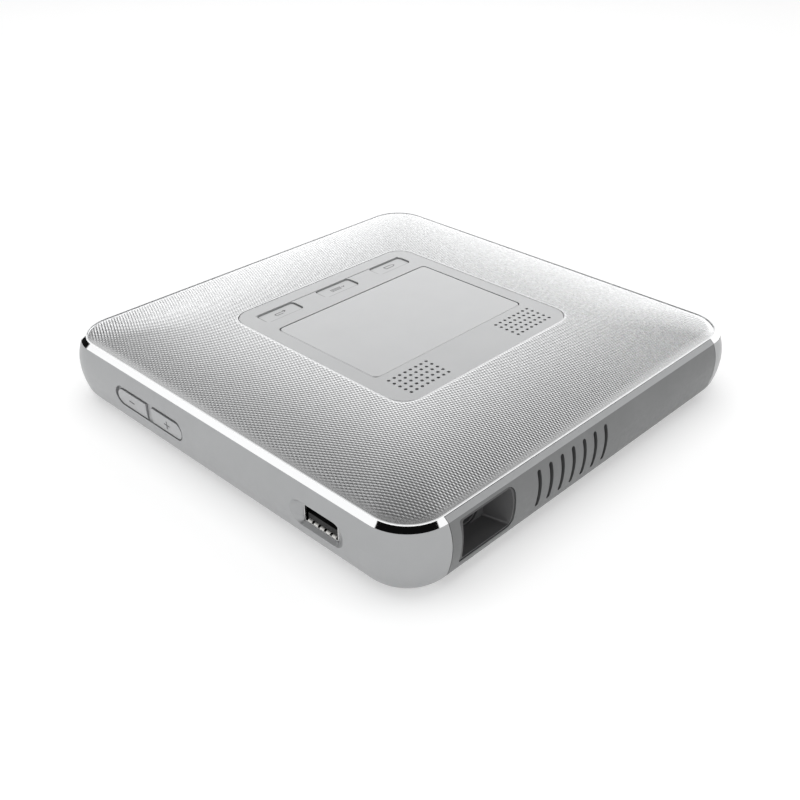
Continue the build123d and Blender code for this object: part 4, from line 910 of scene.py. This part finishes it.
@dataclass
class ControlPlate:
    """Square plate with the touch pad, the sound holes and three printed keys."""

    sign_half: float = 2.2
    cap_height: float = 0.4
    nodes: tuple[str, ...] = (
        "control_panel", "touchpad", "key_back", "key_menu", "key_home", "key_board", "key_domes",
        "panel_screws", "touch_board", "speaker_meshes", "speaker_left", "speaker_right",
    )

    def build(self, rack: FinishRack, ink: bpy.types.Material) -> None:
        """Dress the plate, paint shade beside its keys' outlines and print its keys.

        Args:
            rack: the finishes.
            ink: the printing ink.
        """
        for node in self.nodes:
            rack.dress(node)
        for sign in Sign:
            self.shade_key(sign, rack)
            self.print_key(sign, ink)

    def shade_key(self, sign: Sign, rack: FinishRack) -> None:
        """Paint shade on a key's top beside its outline, where the gap would shade it.

        Args:
            sign: the sign, which names its key.
            rack: the finishes.
        """
        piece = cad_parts[sign.value]
        spots = [piece.matrix_world @ corner.co / MM for corner in piece.data.vertices]
        top = max(spot.z for spot in spots)
        cap = [spot for spot in spots if spot.z > top - self.cap_height]
        low = (min(spot.x for spot in cap), min(spot.y for spot in cap))
        high = (max(spot.x for spot in cap), max(spot.y for spot in cap))
        paint = asdict(FINISHES["key_silver"])
        # Painted shade: the key's top darkens near its outline.
        rack.cover(sign.value, GapShadeFinish(**paint, low=low, high=high))

    def print_key(self, sign: Sign, ink: bpy.types.Material) -> None:
        """Print one key's sign on its top.

        Args:
            sign: the sign, which names its key.
            ink: the printing ink.
        """
        low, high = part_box(sign.value)
        middle = (low + high) / 2 / MM
        surface = Surface(Vector((middle.x, middle.y, high.z / MM)), Vector((1, 0, 0)), Vector((0, 1, 0)))
        drawing = Drawing(surface, width=0.24)
        half = self.sign_half
        if sign is Sign.RETURN:
            drawing.stroke([(half, 0.35), (-half + 0.5, 0.35)] + arc((-half + 0.5, -0.2), 0.55, 90, 270, 6)
                           + [(0.6, -0.75)])
            drawing.stroke([(half - 0.7, 0.95), (half, 0.35), (half - 0.7, -0.25)])
        elif sign is Sign.MENU:
            for lift in (-0.62, 0.0, 0.62):
                drawing.stroke([(-half - 0.6, lift), (half - 0.6, lift)])
            drawing.stroke([(half, 0.35), (half + 0.5, -0.3), (half + 1.0, 0.35)])
        else:
            shoulder = half * 0.55
            path = [(-half, -0.7), (-half, 0.7), (shoulder, 0.7), (half, 0.0), (shoulder, -0.7)]
            drawing.stroke(path, closed=True)
        drawing.finish(f"{sign.value}_print", sign.value, "key_silver", ink)


# ------------------------------------------------------------------ sides
@dataclass
class VolumeKeys:
    """Two keys in the side recess, printed with a minus and a plus."""

    arm: float = 1.35
    width: float = 0.34

    def build(self, rack: FinishRack, ink: bpy.types.Material) -> None:
        """Dress the side keys and print the two signs.

        Args:
            rack: the finishes.
            ink: the printing ink.
        """
        for node in ("volume_down_key", "volume_up_key", "power_key", "volume_board", "volume_domes",
                     "power_board", "power_dome"):
            rack.dress(node)
        for node, arms in (("volume_down_key", 1), ("volume_up_key", 2)):
            low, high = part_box(node)
            middle = (low + high) / 2 / MM
            face = Vector((low.x / MM, middle.y, middle.z))
            surface = Surface(face, Vector((0, -1, 0)), Vector((0, 0, 1)))
            drawing = Drawing(surface, self.width)
            drawing.stroke([(-self.arm, 0), (self.arm, 0)])
            if arms == 2:
                for way in (1, -1):
                    drawing.stroke([(0, way * self.width / 2), (0, way * self.arm)])
            drawing.finish(f"{node}_print", node, "side_key", ink)


@dataclass
class Shell:
    """Side band, polished bevel, front panel and the dark base with its feet."""

    nodes: tuple[str, ...] = (
        "body_shell", "bevel_ring", "front_panel", "bottom_cover", "rubber_feet", "tripod_insert",
        "case_screws",
    )

    def build(self, rack: FinishRack) -> None:
        """Dress the outer pieces."""
        for node in self.nodes:
            rack.dress(node)


@dataclass
class LensWindow:
    """Dark flared hood with the lens at its bottom, and the focus drive behind it."""

    nodes: tuple[str, ...] = (
        "lens_hood", "lens_barrel", "front_lens", "rear_lens", "lens_housing", "guide_rod", "focus_motor",
        "focus_screw",
    )

    def build(self, rack: FinishRack) -> None:
        """Dress the hood and the lens."""
        for node in self.nodes:
            rack.dress(node)


@dataclass
class UsbMouth:
    """Metal mouth in its scoop, with spring fingers along its floor."""

    fingers: int = 5
    pitch: float = 2.3
    width: float = 1.5
    thickness: float = 0.12
    wall: float = 0.3
    profile: tuple[Point, ...] = ((0.02, 0.1), (0.3, 0.36), (0.7, 0.5), (1.6, 0.42), (3.0, 0.14))

    def build(self, rack: FinishRack, metal: bpy.types.Material) -> None:
        """Dress the socket, paint shade inside it behind its lip, and set the spring fingers on its floor.

        Args:
            rack: the finishes.
            metal: the fingers' plating.
        """
        rack.dress("usb_board")
        low, high = (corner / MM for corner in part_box("usb_socket"))
        # Painted shade: the socket's inside past its mouth is painted near-black.
        rack.cover("usb_socket", replace(USB_SHELL, mouth=low.x))
        rack.cover("usb_tongue", TONGUE_BLACK)
        middle_y = (low.y + high.y) / 2
        for place in range(self.fingers):
            y = middle_y + (place - (self.fingers - 1) / 2) * self.pitch
            self.finger(f"usb_finger_{place + 1}", low, y, metal)

    def finger(self, name: str, low: Vector, y: float, metal: bpy.types.Material) -> None:
        """Set one finger: a strip that rises from the mouth's floor and turns down again.

        Args:
            name: the piece's name.
            low: the socket's lowest corner, in millimetres.
            y: the strip's middle.
            metal: its plating.
        """
        points, faces = [], []
        for run, rise in self.profile:
            for side in (-1, 1):
                for depth in (self.thickness, 0.0):
                    spot = (low.x + run, y + side * self.width / 2, low.z + self.wall + rise - depth)
                    points.append(Vector(spot) * MM)
        for i in range(len(self.profile) - 1):
            a, b = 4 * i, 4 * i + 4
            for first, second in ((0, 2), (2, 3), (3, 1), (1, 0)):
                faces.append((a + first, a + second, b + second, b + first))
        end = 4 * (len(self.profile) - 1)
        faces += [(0, 1, 3, 2), (end, end + 2, end + 3, end + 1)]
        made = mesh_object(name, points, faces, metal, smooth=True)
        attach(made, "case")


@dataclass
class BackSockets:
    """Video, power and sound sockets on the back."""

    nodes: tuple[str, ...] = ("hdmi_socket", "hdmi_tongue", "dc_jack", "dc_jack_pin", "audio_jack")

    def build(self, rack: FinishRack) -> None:
        """Dress the sockets."""
        for node in self.nodes:
            rack.dress(node)


@dataclass
class Insides:
    """Optics, cooling, boards and battery inside the closed case."""

    nodes: tuple[str, ...] = (
        "optical_engine", "mirror_chip_board", "led_modules", "heat_sink", "heat_pipe", "fan_housing",
        "fan_cover", "fan_rotor", "main_board", "board_screws", "shield_can", "wireless_antenna",
        "battery_pack",
    )

    def build(self, rack: FinishRack) -> None:
        """Dress the inner pieces."""
        for node in self.nodes:
            rack.dress(node)


# ------------------------------------------------------------------ studio
@dataclass
class Studio:
    """Pale floor, soft light and the camera at the photograph's angle."""

    camera_place: Colour = (-0.2096132, -0.2036564, 0.1751831)
    azimuth: float = -45.71656
    elevation: float = 31.67975
    roll: float = -0.22178
    lens: float = 46.03
    floor_half: float = 4.0
    floor_glow: float = 0.33
    floor_tones: Point = (0.74, 0.76)
    floor_mottle: float = 900.0
    lamp_place: Colour = (0.0, 0.1, 1.1)
    lamp_size: float = 1.1
    lamp_power: float = 8.0
    sky_seam: Point = (0.24, 0.42)
    sky_round: tuple[Point, ...] = ((0, 1.15), (14, 1.12), (30, 1.06), (46.0, 1.04), (46.8, 0.004))
    sky_behind: tuple[Point, ...] = (
        (0, 2.4), (10, 2.2), (18, 1.3), (30, 0.88), (40, 0.58), (50, 0.2), (60, 0.05),
    )
    flag_azimuth: float = 92.0
    flag_height: float = 8.0
    flag_reach: Point = (22.0, 25.0)
    flag_tone: float = 0.004

    def build(self) -> None:
        """Lay the floor, light the scene and set the camera."""
        self.floor()
        self.sky()
        self.lamp("overhead_light", self.lamp_place, (0.0, 0.0, 0.0), self.lamp_size, self.lamp_power)
        self.camera()
        bpy.context.scene.view_settings.view_transform = "Standard"

    def floor(self) -> None:
        """Lay a wide pale floor that glows a little."""
        half = self.floor_half
        sheet = ShaderSheet("studio_floor")
        sheet.link(
            sheet.blend(sheet.noise(self.floor_mottle), *((tone, tone, tone) for tone in self.floor_tones)),
            sheet.shader.inputs["Base Color"],
        )
        sheet.set("Roughness", 0.9)
        sheet.set("Specular IOR Level", 0.1)
        sheet.set("Emission Color", (1, 1, 1, 1))
        sheet.set("Emission Strength", self.floor_glow)
        corners = [(-half, -half, 0), (half, -half, 0), (half, half, 0), (-half, half, 0)]
        mesh_object("studio_floor", corners, [(0, 1, 2, 3)], sheet.material)

    def sky(self) -> None:
        """Light from all round up to a height, and a dark ceiling above it."""
        world = bpy.data.worlds.new("studio_sky")
        bpy.context.scene.world = world
        world.use_nodes = True
        tree = world.node_tree
        place = tree.nodes.new("ShaderNodeTexCoord")
        axes = tree.nodes.new("ShaderNodeSeparateXYZ")
        tree.links.new(place.outputs["Generated"], axes.inputs[0])
        ahead = tree.nodes.new("ShaderNodeVectorMath")
        ahead.operation = "DOT_PRODUCT"
        ahead.inputs[1].default_value = (math.sqrt(0.5), math.sqrt(0.5), 0)
        tree.links.new(place.outputs["Generated"], ahead.inputs[0])
        share = tree.nodes.new("ShaderNodeMapRange")
        share.interpolation_type = "SMOOTHSTEP"
        share.inputs["From Min"].default_value, share.inputs["From Max"].default_value = self.sky_seam
        tree.links.new(ahead.outputs["Value"], share.inputs["Value"])
        mix = tree.nodes.new("ShaderNodeMix")
        mix.data_type = "RGBA"
        tree.links.new(share.outputs[0], mix.inputs[0])
        for socket, steps in ((6, self.sky_round), (7, self.sky_behind)):
            tree.links.new(self.ramp(tree, axes, steps), mix.inputs[socket])
        shade = tree.nodes.new("ShaderNodeVectorMath")
        shade.operation = "SCALE"
        tree.links.new(mix.outputs[2], shade.inputs[0])
        tree.links.new(self.flag(tree, place), shade.inputs["Scale"])
        tree.links.new(shade.outputs[0], tree.nodes["Background"].inputs["Color"])

    def flag(self, tree: bpy.types.NodeTree, place: bpy.types.Node) -> bpy.types.NodeSocket:
        """Dark round patch of the sky that the left corner's bevel mirrors.

        Args:
            tree: the sky's node tree.
            place: the node that gives the direction.

        Returns:
            The share of light that is left, as a socket.
        """
        turn, rise = math.radians(self.flag_azimuth), math.radians(self.flag_height)
        near = tree.nodes.new("ShaderNodeVectorMath")
        near.operation = "DOT_PRODUCT"
        near.inputs[1].default_value = (
            math.cos(turn) * math.cos(rise), math.sin(turn) * math.cos(rise), math.sin(rise),
        )
        tree.links.new(place.outputs["Generated"], near.inputs[0])
        edge = tree.nodes.new("ShaderNodeMapRange")
        edge.interpolation_type = "SMOOTHSTEP"
        inner, outer = (math.cos(math.radians(reach)) for reach in self.flag_reach)
        edge.inputs["From Min"].default_value, edge.inputs["From Max"].default_value = outer, inner
        edge.inputs["To Min"].default_value, edge.inputs["To Max"].default_value = 1.0, self.flag_tone
        tree.links.new(near.outputs["Value"], edge.inputs["Value"])
        return edge.outputs[0]

    @staticmethod
    def ramp(
        tree: bpy.types.NodeTree, axes: bpy.types.Node, tones: tuple[Point, ...]
    ) -> bpy.types.NodeSocket:
        """Tone of the sky by its height.

        Args:
            tree: the sky's node tree.
            axes: the node that splits the direction.
            tones: pairs of an elevation in degrees and its tone.

        Returns:
            The tone's socket.
        """
        ramp = tree.nodes.new("ShaderNodeValToRGB")
        steps = ramp.color_ramp.elements
        while len(steps) < len(tones):
            steps.new(1.0)
        for step, (rise, tone) in zip(steps, tones):
            step.position = math.sin(math.radians(rise))
            step.color = (tone, tone, tone, 1)
        tree.links.new(axes.outputs["Z"], ramp.inputs[0])
        return ramp.outputs[0]

    def lamp(self, name: str, place: Colour, target: Colour, size: float, power: float) -> None:
        """Hang a soft square light that shows in no reflection.

        Args:
            name: the light's name.
            place: where it hangs.
            target: where it points.
            size: its width.
            power: its power in watts.
        """
        data = bpy.data.lights.new(name, "AREA")
        data.shape = "SQUARE"
        data.size = size
        data.energy = power
        made = bpy.data.objects.new(name, data)
        made.location = place
        made.rotation_mode = "QUATERNION"
        made.rotation_quaternion = (Vector(target) - Vector(place)).to_track_quat("-Z", "Y")
        made.visible_glossy = False
        bpy.context.scene.collection.objects.link(made)

    def camera(self) -> None:
        """Set the camera where the photograph was taken from."""
        turn, rise, roll = (math.radians(v) for v in (self.azimuth, self.elevation, self.roll))
        back = Vector((math.sin(turn) * math.cos(rise), -math.cos(turn) * math.cos(rise), math.sin(rise)))
        right = Vector((math.cos(turn), math.sin(turn), 0))
        up = back.cross(right)
        turned = right * math.cos(roll) + up * math.sin(roll)
        up = up * math.cos(roll) - right * math.sin(roll)
        data = bpy.data.cameras.new("studio_camera")
        data.lens = self.lens
        data.sensor_width = 36
        data.clip_start = 0.01
        data.clip_end = 50
        made = bpy.data.objects.new("studio_camera", data)
        facing = Matrix((turned, up, back)).transposed().to_4x4()
        made.matrix_world = Matrix.Translation(self.camera_place) @ facing
        bpy.context.scene.collection.objects.link(made)
        bpy.context.scene.camera = made


def main() -> None:
    """Build the pieces in order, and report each."""
    logging.basicConfig(level=logging.INFO, format="%(name)s: %(message)s")
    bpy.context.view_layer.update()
    rack = FinishRack()
    ink = PRINT_GREY.material("print_ink")
    metal = CONTACT_METAL.material("contact_metal")
    Shell().build(rack)
    log.info("shell dressed")
    cover = KnurledCover().build(rack)
    log.info("knurled cover built with %d faces", len(cover.data.polygons))
    ControlPlate().build(rack, ink)
    log.info("control plate dressed and printed")
    VolumeKeys().build(rack, ink)
    log.info("side keys dressed and printed")
    LensWindow().build(rack)
    log.info("lens window dressed")
    UsbMouth().build(rack, metal)
    log.info("USB mouth dressed")
    BackSockets().build(rack)
    log.info("back sockets dressed")
    Insides().build(rack)
    log.info("insides dressed")
    Studio().build()
    log.info("studio set")


if __name__ == "__main__":
    main()
